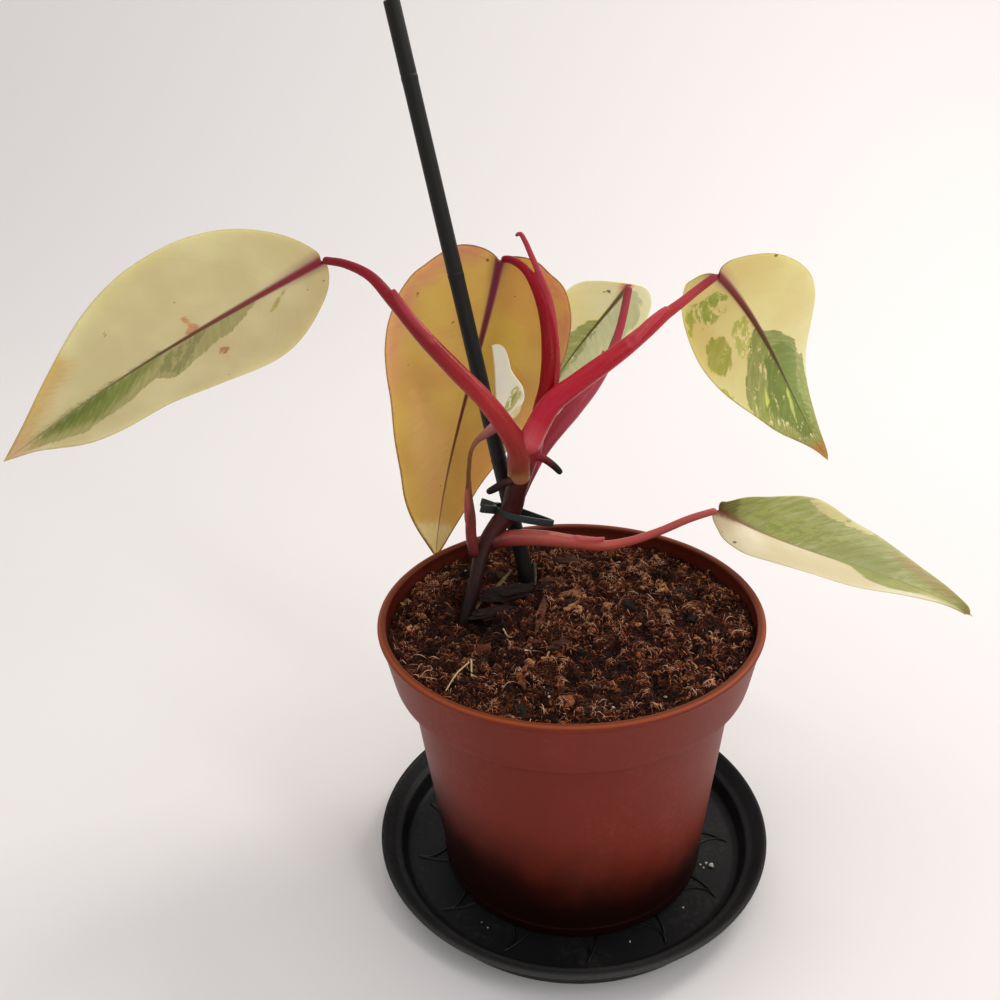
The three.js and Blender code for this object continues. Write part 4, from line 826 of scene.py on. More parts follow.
def leaf_finish(name, blade, settings):
    """Living aroid leaf: waxy, smooth cuticle over a soft marbled blade, semi-gloss, lit through."""
    material, node = start_material(name)
    share, upper, rib, vein, to_margin, dots = (
        node("Attribute", out=2, attribute_name=key)
        for key in ("share", "upper", "rib", "vein", "to_margin", "spots")
    )
    grain = node("Attribute", out=1, attribute_name="grain")
    place = node("TexCoord", out=3)
    # Slow change of tone over 30 mm, and a fine grain of 1.5 mm.
    cloud = node("TexNoise", Vector=place, Scale=1 / 0.03, Detail=2.0)
    fine = node("TexNoise", Vector=place, Scale=1 / 0.0015, Detail=2.0)
    # Streaks 2 mm apart and cells of 3 mm, in the leaf's own net: across and along the side veins.
    nets = (node("VectorMath", grain, scale, **TIMES) for scale in ((3.4, 1.5, 1.0), (1.5, 2.0, 2.0)))
    streak, cells = (
        node("TexNoise", Vector=net, Scale=1.0, Detail=detail, Roughness=rough)
        for net, detail, rough in zip(nets, (5.0, 4.0), (0.6, 0.7))
    )
    slow = node("MapRange", cloud, 0.35, 0.65, **SOFT)
    faces = (node("Mix", slow, rgba(pale), rgba(deep)) for pale, deep in (blade["under"], blade["upper"]))
    colour = node("Mix", upper, *faces)
    for number, (_, patch, soft, ragged, cover) in enumerate(blade["patches"]):
        inside = node("Attribute", out=2, attribute_name=f"patch_{number}")
        for ripple, reach in ((streak, 2.6), (cells, 2.4)):
            swing = node("Math", ripple, 0.5, **LESS)
            inside = node("Math", swing, reach * ragged, inside, **TIMES_PLUS)
        mask = node("MapRange", inside, -soft, soft, **SOFT)
        if cover < 1:
            limit = 0.5 + (0.5 - cover) * 0.3
            gaps = node("MapRange", cells, limit - 0.02, limit + 0.03, **SOFT)
            mask = node("Math", mask, gaps, **TIMES)
        depth = node("MapRange", streak, 0.3, 0.62, 0.7, 1.0, **SOFT)
        colour = node("Mix", node("Math", mask, depth, **TIMES), colour, rgba(patch))
    # Side veins: a thin darker line every vein spacing, hardly seen at arm's length.
    beat = node("Math", node("Math", vein, operation="FRACT"), 0.5, **LESS)
    beat = node("Math", beat, operation="ABSOLUTE")
    vein_line = node("MapRange", beat, 0.0, 0.05, 1.0, 0.0, **SOFT)
    # The stalk's red spreads out beside the midrib at the base and fades.
    beside = node("MapRange", rib, 0.8, 2.6, blade["blush"], 0.0, **SOFT)
    at_base = node("MapRange", share, 0.0, 0.22, 1.0, 0.0, **SOFT)
    on_rib = node("MapRange", rib, 0.4, 1.15, 1.0, 0.0, **SOFT)
    thinning = node("MapRange", share, 0.5, 1.0, 1.0, 0.5, **SOFT)
    # The thin dry margin wanders by a quarter of a millimetre.
    line_colour, strength, width = blade["margin"]
    wander = node("Math", node("Math", fine, 0.5, **LESS), 0.5, to_margin, **TIMES_PLUS)
    # Pinprick specks up to 0.35 mm in radius, in a share of the cells of an 8 mm scatter.
    scatter = node("TexVoronoi", Vector=place, Scale=1 / 0.008).node
    chance = node("SeparateXYZ", scatter.outputs["Color"])
    size = node("MapRange", chance, 1 - blade.get("specked", 0.12), 1, 0.0, 0.045, **SOFT)
    pinprick = node("Math", scatter.outputs["Distance"], size, **LESS)
    brown = rgba(settings.spot_colour)
    for mask, tone in (
        (node("MapRange", share, 0.88, 1.0, 0.0, 0.7, **SOFT), rgba(blade["tip"])),
        (node("Math", vein_line, 0.04, **TIMES), rgba(blade["rib"][-1][1])),
        (node("Math", beside, at_base, **TIMES), rgba(blade["rib"][0][1])),
        (node("Math", on_rib, thinning, **TIMES), node("ValToRGB", share, stops=blade["rib"])),
        (node("MapRange", wander, 0.1, width, strength, 0.0, **SOFT), rgba(line_colour)),
        (node("MapRange", dots, -0.25, 0.3, 0.0, 0.85, **SOFT), brown),
        (node("MapRange", pinprick, -0.012, 0.0, 0.75, 0.0, **SOFT), brown),
    ):
        colour = node("Mix", mask, colour, tone)
    height = node("Math", fine, 0.25, node("Math", vein_line, 0.5, **TIMES), **TIMES_PLUS)
    bump = node("Bump", Strength=0.2, Distance=0.0003, Height=height)
    roughness = node("MapRange", fine, 0.2, 0.8, settings.gloss - 0.05, settings.gloss + 0.07, **SOFT)
    values = {
        "Roughness": roughness, "IOR": 1.45, "Specular IOR Level": 0.4, "Subsurface Weight": settings.glow,
        "Subsurface Radius": (1.0, 0.85, 0.45), "Subsurface Scale": 0.002,
    }
    close_material(node, colour, values, bump)
    return material


# Stalks and stem

SKIN_SMOOTHINGS = 3
ROD_SIDES = 20  # of a stem or stalk, before it is fused
THIN_SIDES = 12  # of a sheath or an aerial root


def drawn_together(rods, voxel):
    """Closed rods fused into one skin, as growth does, and smoothed a little."""
    bm = bmesh.new()
    for stops, sides in rods:
        add_tube(bm, stops, sides=sides, spacing=1.0)
    bmesh.ops.recalc_face_normals(bm, faces=bm.faces)
    bm = with_modifiers(bm, ("REMESH", {"mode": "VOXEL", "voxel_size": voxel}))
    every_way = {"use_axis_x": True, "use_axis_y": True, "use_axis_z": True}
    for _ in range(SKIN_SMOOTHINGS):
        bmesh.ops.smooth_vert(bm, verts=bm.verts, factor=0.5, **every_way)
    return bm


def beside_rod(stops, spots):
    """A rod's nearest point to each spot, how far along it that is, its length, and the gap to its skin."""
    fine = np.linspace(0, 1, 240)
    stops = np.array(stops, float)
    line = smooth_curve(stops[:, :3], fine)
    radius = np.interp(fine * (len(stops) - 1), np.arange(len(stops)), stops[:, 3])
    run = run_along(line)
    nearest = np.concatenate([
        np.argmin(((part[:, None, :] - line[None]) ** 2).sum(axis=2), axis=1)
        for part in np.array_split(spots, len(spots) // 4000 + 1)
    ])
    gap = np.linalg.norm(spots - line[nearest], axis=1) - radius[nearest]
    return line[nearest], run[nearest], run[-1], gap


def write_along(bm, main, sheath=None):
    """Stores how far each vertex lies along a rod, its place in the skin, and where a sheath or root is."""
    spots = places(bm)
    centre, run, length, gap = beside_rod(main, spots)
    out = spots - centre
    float_layer(bm, "share", run / length)
    vector_layer(bm, "grain", np.column_stack([out[:, 0], out[:, 1], 0.07 * run + 0.4 * out[:, 2]]))
    if sheath:
        gap = 0.5 + gap - beside_rod(sheath, spots)[3]
    else:
        gap = gap / 8
    float_layer(bm, "sheath", np.clip(gap, 0, 1))


def stalk_finish(name, colours, gloss, streaks, edge_colour, edge_share):
    """Living leaf stalk: thin-skinned and juicy, glossy, with fine paler lines along it and faint pores."""
    material, node = start_material(name)
    share, edge = (node("Attribute", out=2, attribute_name=key) for key in ("share", "sheath"))
    grain = node("Attribute", out=1, attribute_name="grain")
    place = node("TexCoord", out=3)
    # The colour's steps wander by 2 % of the length, on a noise of 9 mm.
    wander = node("TexNoise", Vector=place, Scale=1 / 0.009, Detail=2.0)
    moved = node("Math", node("Math", wander, 0.04, share, **TIMES_PLUS), 0.02, **LESS)
    colour = node("ValToRGB", moved, stops=colours)
    lines = node("TexNoise", Vector=grain, Scale=0.9, Detail=4.0, Roughness=0.7)
    # A sheath's edge is thinner and paler than the stalk it wraps. An aerial root dries to a dark tip.
    for mask, tone in (
        (node("MapRange", lines, 0.5, 0.75, 0.0, streaks), "#d4706a"),
        (node("MapRange", lines, 0.28, 0.48, 3 * streaks, 0.0), "#36060c"),
        (node("Math", edge, edge_share, **TIMES), edge_colour),
    ):
        colour = node("Mix", mask, colour, rgba(tone))
    pores = node("TexNoise", Vector=place, Scale=1 / 0.0008, Detail=1.0)
    height = node("Math", lines, 2.0, pores, **TIMES_PLUS)
    bump = node("Bump", Strength=0.25, Distance=0.0004, Height=height)
    values = {
        "Roughness": gloss, "IOR": 1.4, "Specular IOR Level": 0.22, "Subsurface Weight": 0.15,
        "Subsurface Radius": (1.0, 0.3, 0.2), "Subsurface Scale": 0.001,
    }
    close_material(node, colour, values, bump)
    return material


# Soil

# Where the soil's top stands out or sinks, besides its even lumps: x, y, radius, height.
MOUNDS = [
    (-2, 47, 10, 3), (-8, 27, 6, 1.5), (1, 19, 6, 1), (-1, -9, 13, 3), (-62, 22, 12, 2.5),
    (30, 28, 14, 1.5), (-40, -7, 8, -4.5), (-20, 35, 7, -3.5), (-59, -32, 4.5, -2.5), (44, 37, 6, -2.5),
    (51, -15, 5, -2.5), (8, -38, 5, -2.5), (35, -55, 5, -2), (-6, -53, 4, -1.5), (9, 30, 5, -2),
    (-47, 40, 8, -2),
]
# Lumps that lie on it: x, y, lift, length, width, height, turn in degrees, shade from dark to golden.
LUMPS = [
    (-1.7, 47.6, -1, 17, 14, 8, 0, 0.42),
    (-8, 28, 1, 11, 6, 5, 10, 0.5),
    (0.8, 18.8, 1.4, 9, 5, 3.4, 5, 0.66),
    (17.5, 42.8, 0.4, 6, 5, 3, 20, 0.72),
    (17.2, 9.5, 0.6, 5, 3.6, 2.6, 0, 0.76),
    (25, 7, 0.6, 11, 5, 4, -38, 0.08),
    (41.8, 5.4, 0.8, 8, 3, 2.4, -15, 0.68),
    (-71.5, -4.5, 0.8, 3.6, 1.8, 1.4, 70, 0.95),
    (-29, 18, 0.2, 21, 9, 6, 24, 0.26),
    (-31, 8.4, 0.2, 24, 7, 4, 15, 0.28),
    (-17, -1, 0.8, 25, 3.6, 3, -88, 0.44),
    (-12.4, -1, 0.8, 22, 3.2, 2.6, -97, 0.52),
    (-21, 25, 1.5, 13, 5, 3, 38, 0.24),
    (33, 42, 0.2, 12, 8, 5, 30, 0.36),
    (52, 22, 0.2, 11, 8, 4, -20, 0.34),
    (-44, 47, 0.2, 12, 9, 5, 10, 0.36),
    (-56, 12, 0.2, 13, 9, 5, 60, 0.34),
    (30, -20, 0.2, 9, 7, 4, 0, 0.38),
    (-20, -38, 0.2, 9, 7, 4, 45, 0.4),
    (12, -58, 0.2, 8, 6, 4, 80, 0.44),
    (-4, -24, 0.2, 8, 7, 4, 12, 0.42),
]


def soil_height(x, y):
    """The soil's top, as in the part's drawing."""
    r = math.hypot(x, y)
    edge = min(max((80 - r) / 12, 0.0), 1.0)
    inward = edge * edge * (3 - 2 * edge)
    lumps = 1.7 * math.sin(x * 0.23 + 1.1) * math.cos(y * 0.19 - 0.4) + 0.9 * math.sin(x * 0.41 - y * 0.33)
    lumps += 0.6 * math.cos(x * 0.17 + y * 0.52 + 2)
    at_stem = 6 * math.exp(-((x + 50) ** 2 + (y - 2) ** 2) / 15 ** 2)
    mound = 3 * math.exp(-((x - 12) ** 2 + (y - 12) ** 2) / 34 ** 2)
    return SOIL_TOP - 0.025 * y + inward * (lumps + mound) - at_stem


def soil_top(x, y):
    """The soil's top with its mounds, pits and clods, which loose pieces lie on."""
    clumps = abs(noise.noise(Vector((x / 6.5, y / 6.5, 1))))
    height = soil_height(x, y) + 1.3 * noise.noise(Vector((x / 12, y / 12, 4))) + 6.5 * clumps - 1.8
    for at_x, at_y, radius, rise in MOUNDS:
        far = ((x - at_x) ** 2 + (y - at_y) ** 2) / radius ** 2
        if far < 6:
            height += rise * math.exp(-far)
    return height


def soil_shade(x, y, draw):
    """How pale a loose piece is: paler on clump tops and darker in hollows as painted light and shade,
    darker round the stem.
    """
    raised = soil_top(x, y) - soil_height(x, y)
    damp = math.exp(-((x + 42) ** 2 + (y - 2) ** 2) / 32 ** 2)
    drift = noise.noise(Vector((x / 9, y / 9, 5)))
    # raised paints clump tops paler and hollows darker: painted light and shade.
    return min(max(0.05 + 0.84 * draw.random() + 0.1 * raised + 0.3 * drift - 0.24 * damp, 0.0), 1.0)


def draw_soil():
    """The filled pot's body of soil, with a crumbled top."""
    rings = [(r, SOIL_TOP) for r in np.linspace(SOIL_RADIUS, 0.7, 115)]
    bm = turned(SOIL_SIDE + rings + [(0, SOIL_TOP)], steps=300)
    for vert in bm.verts:
        if vert.co.z > SOIL_TOP - 0.01:
            x, y = vert.co.x, vert.co.y
            crumb = noise.noise(Vector((x / 2.4, y / 2.4, 3)))
            crumb += 0.6 * noise.noise(Vector((x / 1.1, y / 1.1, 9)))
            vert.co.z = soil_top(x, y) + 1.4 * crumb
    return bm


def thrown(draw, spread):
    """A place on the soil, as likely in one spot of the round as in another."""
    r = spread * math.sqrt(draw.random())
    turn = draw.random() * 2 * math.pi
    return r * math.cos(turn), r * math.sin(turn)


def strewn(bm, count):
    """Copies the one piece in a mesh until there are count of them. Returns the vertices of each."""
    each = len(bm.verts)
    copies = 1
    while copies < count:
        more = min(copies, count - copies)
        bm.verts.index_update()
        limit = more * each
        geom = [v for v in bm.verts if v.index < limit]
        geom += [e for e in bm.edges if e.verts[0].index < limit]
        geom += [f for f in bm.faces if f.verts[0].index < limit]
        bmesh.ops.duplicate(bm, geom=geom)
        copies += more
    verts = list(bm.verts)
    return [verts[at * each:(at + 1) * each] for at in range(count)]


def draw_fibres(count, draw, longest, thickest, rise, parts):
    """Thin bent coir fibres that lie on the soil and stand out of it."""
    bm = bmesh.new()
    lay = Matrix.Rotation(math.pi / 2, 4, "Y")
    bmesh.ops.create_cone(bm, cap_ends=True, segments=3, radius1=1, radius2=1, depth=1, matrix=lay)
    for cut in range(1, parts):
        geom = bm.verts[:] + bm.edges[:] + bm.faces[:]
        bmesh.ops.bisect_plane(bm, geom=geom, plane_co=(cut / parts - 0.5, 0, 0), plane_no=(1, 0, 0))
    tint = []
    for verts in strewn(bm, count):
        x, y = thrown(draw, FIBRE_SPREAD)
        heading = draw.random() * 2 * math.pi
        long = longest * (0.3 + 0.7 * draw.random() ** 2)
        thick = thickest * (0.5 + 0.5 * draw.random())
        bend = (draw.random() - 0.5) * 1.2
        up = rise * draw.random() ** 2
        tip = draw.random() - 0.3
        ground = soil_top(x, y) + FIBRE_LIFT
        tone = soil_shade(x, y, draw)
        for vert in verts:
            t = vert.co.x + 0.5
            angle = heading + bend * (t - 0.5)
            radius = thick * (1 - 0.6 * t)
            px = x + math.cos(angle) * long * (t - 0.5) - math.sin(angle) * vert.co.y * radius
            py = y + math.sin(angle) * long * (t - 0.5) + math.cos(angle) * vert.co.y * radius
            inside = min(1, WALL_INSIDE / math.hypot(px, py))
            height = ground + up * math.sin(math.pi * t) + up * tip * t + vert.co.z * radius
            vert.co = (px * inside, py * inside, height)
            # Painted shade: a fibre is darker where it lies low by the ground and paler where it stands up.
            tint.append(tone + 0.2 * (height - ground) - 0.08)
    float_layer(bm, "tint", tint)
    return bm


def shape_lump(verts, place, half, turn, seed, rough=0.6):
    """Turns a unit sphere's vertices into one irregular lump with those half sizes."""
    shift = Vector((seed * 1.7, 0, 0))
    for vert in verts:
        swell = noise.noise(vert.co * 1.3 + shift) + 0.5 * noise.noise(vert.co * 3.4 + shift)
        vert.co *= 1 + rough * (swell + 0.35 * noise.noise(vert.co * 7 + shift))
        grown = Vector((vert.co.x * half[0], vert.co.y * half[1], vert.co.z * half[2]))
        vert.co = turn @ grown + place


def draw_chips(count, draw, size, flatness, detail, spread, lift):
    """Irregular bits strewn on the soil: bark chips, crumbs of coir or grains of perlite.

    size is the smallest and the largest in mm. lift is the height of a middle, as a share of its size.
    """
    bm = bmesh.new()
    bmesh.ops.create_icosphere(bm, subdivisions=detail, radius=1)
    tint = []
    for index, verts in enumerate(strewn(bm, count)):
        x, y = thrown(draw, spread)
        across = size[0] + (size[1] - size[0]) * draw.random() ** 2.2
        stretch = 1 + 1.3 * draw.random()
        tilt = Matrix.Rotation(draw.random() - 0.5, 3, "Y") @ Matrix.Rotation(draw.random() - 0.5, 3, "X")
        yaw = Matrix.Rotation(draw.random() * 2 * math.pi, 3, "Z")
        place = Vector((x, y, soil_top(x, y) + lift * across))
        tone = soil_shade(x, y, draw)
        shape_lump(verts, place, (across * stretch, across, across * flatness), yaw @ tilt, index)
        tint += [tone] * len(verts)
    float_layer(bm, "tint", tint)
    return bm


def draw_lumps():
    """The clods, bark slabs and golden flecks that can be told apart."""
    bm = bmesh.new()
    bmesh.ops.create_icosphere(bm, subdivisions=3, radius=1)
    tint = []
    pieces = strewn(bm, len(LUMPS))
    for index, (x, y, lift, long, wide, high, degrees, tone) in enumerate(LUMPS):
        place = Vector((x, y, soil_top(x, y) + lift))
        turn = Matrix.Rotation(math.radians(degrees), 3, "Z")
        shape_lump(pieces[index], place, (long / 2, wide / 2, high / 2), turn, index + 7, rough=0.75)
        tint += [tone] * len(pieces[index])
    float_layer(bm, "tint", tint)
    return bm


def on_soil(stops):
    """Stops of a twig whose heights are given above the soil."""
    return [[x, y, soil_top(x, y) + z, radius] for x, y, z, radius in stops]


TWIGS = {
    "dry_twig": [
        (-43, 11, 2.6, 0.7), (-38, 18.5, 3, 1), (-34.6, 23.5, 3.2, 1.1), (-31, 30.5, 3.4, 0.9),
        (-27.2, 37.7, 5.5, 0.6),
    ],
    "pale_fibre": [(-29.2, -7.2, 1.4, 0.35), (-27, -11, 2, 0.4), (-24.9, -15.2, 1.4, 0.3)],
    "pale_root": [
        (-41.8, -33.5, 1.4, 0.3), (-40.2, -40.7, 2.4, 0.4), (-40, -44, 2, 0.4), (-39.6, -48, 1.2, 0.3),
    ],
    "pale_root_branch": [(-49, -58.5, 1.4, 0.25), (-45.4, -48.5, 2.2, 0.35), (-41, -42.5, 2.2, 0.35)],
    # A pale strip laid beside the cane's foot: a painted highlight standing for the cane's reflection there.
    "papery_strip": [
        (-17.4, 54, 1, 0.5), (-16.6, 47, 2.6, 0.8), (-16.2, 40, 3, 0.8), (-16.4, 33, 1.4, 0.6),
    ],
}


def draw_twig(stops):
    """A twig, root or strip that lies along the soil."""
    bm = bmesh.new()
    add_tube(bm, on_soil(stops), sides=10, spacing=0.8, squash=0.7)
    for vert in bm.verts:
        vert.co += Vector((1, 1, 1)) * 0.18 * noise.noise(vert.co * 1.1)
    float_layer(bm, "tint", [0.5 + 0.4 * noise.noise(v.co * 0.5) for v in bm.verts])
    bmesh.ops.recalc_face_normals(bm, faces=bm.faces)
    return bm


# Colours of what lies loose, from its shaded hollows to its dry, pale edges.
COIR_SHADES = [
    (0.0, "#060101"), (0.3, "#200803"), (0.52, "#602612"), (0.72, "#9e5028"), (0.88, "#c47e4c"),
    (1.0, "#dcb090"),
]
BARK_SHADES = [
    (0.0, "#050201"), (0.36, "#1a0a05"), (0.62, "#502412"), (0.84, "#864a24"), (1.0, "#ae7c4a"),
]
CLOD_SHADES = [
    (0.0, "#0a0805"), (0.3, "#1e0e08"), (0.5, "#4c2717"), (0.72, "#90603f"), (1.0, "#d09450"),
]
PERLITE_SHADES = [(0.0, "#a39a8c"), (1.0, "#d8d2c6")]
SPILT_SHADES = [(0.0, "#8f8a76"), (1.0, "#dedacb")]
ROOT_SHADES = [(0, "#a88a58"), (1, "#d2b884")]
TWIG_SHADES = {
    "dry_twig": [(0, "#342a1e"), (1, "#866e4a")],
    "pale_fibre": [(0, "#9a8a6c"), (1, "#c4b692")],
    "pale_root": ROOT_SHADES,
    "pale_root_branch": ROOT_SHADES,
    # Colours of the painted highlight strip by the cane's foot.
    "papery_strip": [(0, "#221a14"), (1, "#5c4e3e")],
}
# Layers of fibre: piece, the setting that counts it, longest, thickest and rise in mm, parts of one fibre.
FIBRE_LAYERS = (
    ("coir_fuzz", "fuzz", 3.4, 0.18, 1.5, 2),
    ("coir_fluff", "fuzz", 4.8, 0.2, 1.6, 2),
    ("coir_fibres", "fibres", 9, 0.22, 2.4, 5),
)


def tinted_finish(name, stops, grain, roughness, relief):
    """Loose plant matter, each piece its own shade: dry, fibrous and matt."""
    material, node = start_material(name)
    tint = node("Attribute", out=2, attribute_name="tint")
    stretched = node("Mapping", node("TexCoord", out=3), Rotation=(0.2, 0.1, 0.6), Scale=(1, 3.5, 2))
    speck = node("TexNoise", Vector=stretched, Scale=1 / grain, Detail=4.0)
    mixed = node("Math", node("Math", speck, 0.5, tint, **TIMES_PLUS), 0.25, **LESS)
    bump = node("Bump", Strength=0.7, Distance=relief, Height=speck)
    values = {"Roughness": roughness, "Specular IOR Level": 0.3}
    close_material(node, node("ValToRGB", mixed, stops=stops), values, bump)
    return material


def coir_mix_finish(dark, light):
    """Damp coir and bark potting mix: short brown fibres over near-black gaps, painted shade between the
    fibres.
    """
    material, node = start_material("damp coir and bark potting mix")
    place = node("TexCoord", out=3)
    clods = node("TexNoise", Vector=place, Scale=1 / 0.007, Detail=6.0, Roughness=0.7)
    # Fibres 0.3 mm wide and 2 mm long, drawn as noise stretched one way and then the other.
    webs = []
    for turn, scale in ((0.7, (1, 6, 1)), (-0.5, (6, 1, 1)), (1.6, (5, 1, 1))):
        combed = node("Mapping", place, Rotation=(0, 0, turn), Scale=scale)
        webs.append(node("TexNoise", Vector=combed, Scale=1 / 0.0018, Detail=2.0, Distortion=1.6))
    web = node("Math", webs[0], webs[1], operation="MAXIMUM")
    web = node("Math", web, webs[2], operation="MAXIMUM")
    level = node("Math", web, clods, **TIMES)
    # The near-black lowest stop is painted shade in the gaps between fibres.
    colour = node("ValToRGB", level, stops=[(0.2, "#040101"), (0.3, dark), (0.4, light), (0.5, "#8a563a")])
    bump = node("Bump", Strength=1.0, Distance=0.0015, Height=level)
    close_material(node, colour, {"Roughness": 0.95, "Specular IOR Level": 0.15}, bump)
    return material


# Pot, saucer, cane and clip

def moulded_finish(name, colour, roughness, dust, pot=None, painted_front_light=0.0):
    """Moulded polypropylene: an even skin with a fine matt grain, faint flow marks and dried water dust.

    A pot also gets painted shade with a damp stain low on the wall, and painted light at the lip.
    A tray can get painted light outside: a paler grey on its -Y side.
    """
    material, node = start_material(name)
    place = node("TexCoord", out=3)
    _, y, _ = node("SeparateXYZ", place).node.outputs
    flow = node("Mapping", place, Scale=(1, 1, 0.35))
    marks = node("TexNoise", Vector=flow, Scale=1 / 0.04, Detail=5.0, Roughness=0.55)
    specks = node("TexNoise", Vector=place, Scale=1 / 0.0025, Detail=5.0)
    film = node("Math", specks, marks, **TIMES)
    base = node("Mix", node("MapRange", marks, 0.3, 0.7), rgba(colour), rgba(shade(colour, 1.2)))
    layers = [(node("MapRange", film, 0.26, 0.42, 0.0, dust), "#8f8880")]
    if painted_front_light:
        # Painted light: the outside, more than 83 mm from the middle, is painted a paler grey on its lit -Y
        # side.
        reach = node("VectorMath", place, out=1, operation="LENGTH")
        outside = node("MapRange", reach, 0.083, 0.087)
        lit_front = node("MapRange", y, -0.03, -0.08, 0.0, painted_front_light)
        layers.append((node("Math", outside, lit_front, **TIMES), "#5c5c5a"))
    if pot:
        layers += pot_marks(node, place, pot)
    for mask, tone in layers:
        base = node("Mix", mask, base, rgba(tone))
    rough = node("MapRange", marks, 0.3, 0.7, roughness - 0.06, roughness + 0.08)
    skin = node("TexNoise", Vector=place, Scale=1 / 0.0004, Detail=2.0)
    bump = node("Bump", Strength=0.12, Distance=0.0002, Height=skin)
    shine = 0.16 if pot else 0.2
    close_material(node, base, {"Roughness": rough, "IOR": 1.49, "Specular IOR Level": shine}, bump)
    return material


def pot_marks(node, place, pot):
    """Masks and colours painted on the pot: painted light at the lip, painted shade with a damp stain low
    down, soil inside.
    """
    x, _, z = node("SeparateXYZ", place).node.outputs
    lip = node("MapRange", z, 0.1354, 0.1361)
    # Painted shade with a damp stain: darker low down and rising higher on the -X side, away from the light.
    # Its edge wanders on a noise of 40 mm.
    blots = node("TexNoise", Vector=place, Scale=1 / 0.04, Detail=6.0, Roughness=0.62)
    level = node("Math", x, 0.26, z, **TIMES_PLUS)
    level = node("Math", blots, -0.05, level, **TIMES_PLUS)
    damp = node("MapRange", level, -0.005, 0.042, 0.95, 0.0, **SOFT)
    # The collar widens by 0.18 mm for each mm of height.
    flat = node("VectorMath", place, (1, 1, 0), **TIMES)
    around = node("Math", z, -0.18, node("VectorMath", flat, out=1, operation="LENGTH"), **TIMES_PLUS)
    within = node("MapRange", around, 0.0592, 0.0584)
    above = node("MapRange", z, 0.112, 0.116, 0.0, 0.5)
    soiled = node("Math", within, above, **TIMES)
    return [(lip, pot.lip_light_colour), (damp, pot.shade_and_stain_colour), (soiled, "#22110b")]


def shaded_line_finish():
    """The same black polypropylene, smoother than the floor and painted darker: painted shade along the
    raised lines.
    """
    material, node = start_material("black polypropylene, polished line")
    marks = node("TexNoise", Vector=node("TexCoord", out=3), Scale=1 / 0.01, Detail=2.0)
    colour = node("ValToRGB", marks, stops=[(0.3, "#050505"), (0.7, "#0b0b0b")])
    close_material(node, colour, {"Roughness": 0.3, "Specular IOR Level": 0.3})
    return material


def bamboo_finish(colour):
    """Dyed garden bamboo: hard, near-black skin with fine lengthwise fibres and paler rubbed marks."""
    material, node = start_material("dyed bamboo cane")
    along = node("Attribute", out=1, attribute_name="grain")
    fibres = node("TexNoise", Vector=along, Scale=2.2, Detail=4.0, Roughness=0.7)
    stops = [(0.3, shade(colour, 0.5)), (0.6, colour), (0.8, shade(colour, 2)), (0.95, shade(colour, 6))]
    bump = node("Bump", Strength=0.35, Distance=0.0004, Height=fibres)
    values = {"Roughness": 0.45, "Specular IOR Level": 0.25}
    close_material(node, node("ValToRGB", fibres, stops=stops), values, bump)
    return material


def cut_bamboo_finish():
    """Sawn bamboo end: pale, dry, short-fibred wood."""
    material, node = start_material("sawn bamboo end")
    pith = node("TexNoise", Vector=node("TexCoord", out=3), Scale=1 / 0.0008, Detail=3.0)
    colour = node("ValToRGB", pith, stops=[(0.3, "#8c7c5a"), (0.7, "#c9b98e")])
    close_material(node, colour, {"Roughness": 0.8})
    return material


def draw_cane():
    """A tapering cane with knots, standing in the soil."""
    up = (CANE_TIP - CANE_FOOT).normalized()
    foot = CANE_FOOT - up * CANE_BURIED
    length = (CANE_TIP - foot).length
    profile = [(0, 0), (CANE_RADIUS - 0.4, 0), (CANE_RADIUS, 0.4)]
    for at in CANE_KNOTS:
        radius = CANE_RADIUS - CANE_TAPER * at / length
        profile += [
            (radius - 0.02, at - 9), (radius, at - 2.2), (radius + 0.16, at - 0.8), (radius + 0.14, at),
            (radius - 0.06, at + 0.6), (radius + 0.06, at + 1.6), (radius, at + 4),
        ]
    # The sawn end, with the mouth of the hollow.
    profile += [(3.5, length - 0.5), (3.2, length - 0.05), (2.2, length)]
    profile += [(1.9, length - 1.2), (0, length - 1.4)]
    bm = turned(rounded(profile, radius=0.5, cuts=3), steps=40)
    spots = places(bm)
    bent = up.to_track_quat("Z", "Y").to_matrix().to_4x4()
    bmesh.ops.transform(bm, matrix=Matrix.Translation(foot) @ bent, verts=bm.verts)
    vector_layer(bm, "grain", np.column_stack([spots[:, 0], spots[:, 1], spots[:, 2] * 0.05]))
    end = length - 0.6
    for face in bm.faces:
        face.material_index = 1 if all(spots[v.index][2] > end for v in face.verts) else 0
    return bm


CLIP_CENTRE = Vector((-26.4, 34, 166.5))
CLIP_UP = Vector((0.26, 0.27, 0.927)).normalized()
CLIP_LOOP = [
    (-8.6, 3.5), (-4.5, -5), (2, -7.2), (10, -5.4), (20.5, 1.6), (10.5, 10), (2, 15), (-5.5, 15),
    (-9, 10),
]
CLIP_HEIGHT = 3.2
CLIP_WALL = 1.5
CLIP_TABS = ((0.5, -3.5), (9, 12.5))  # where each finger tab starts and ends across the clip
CLIP_TAB_START = -7.8
CLIP_TAB_REACH = 5.6
CLIP_TAB_THICKNESS = 1.9


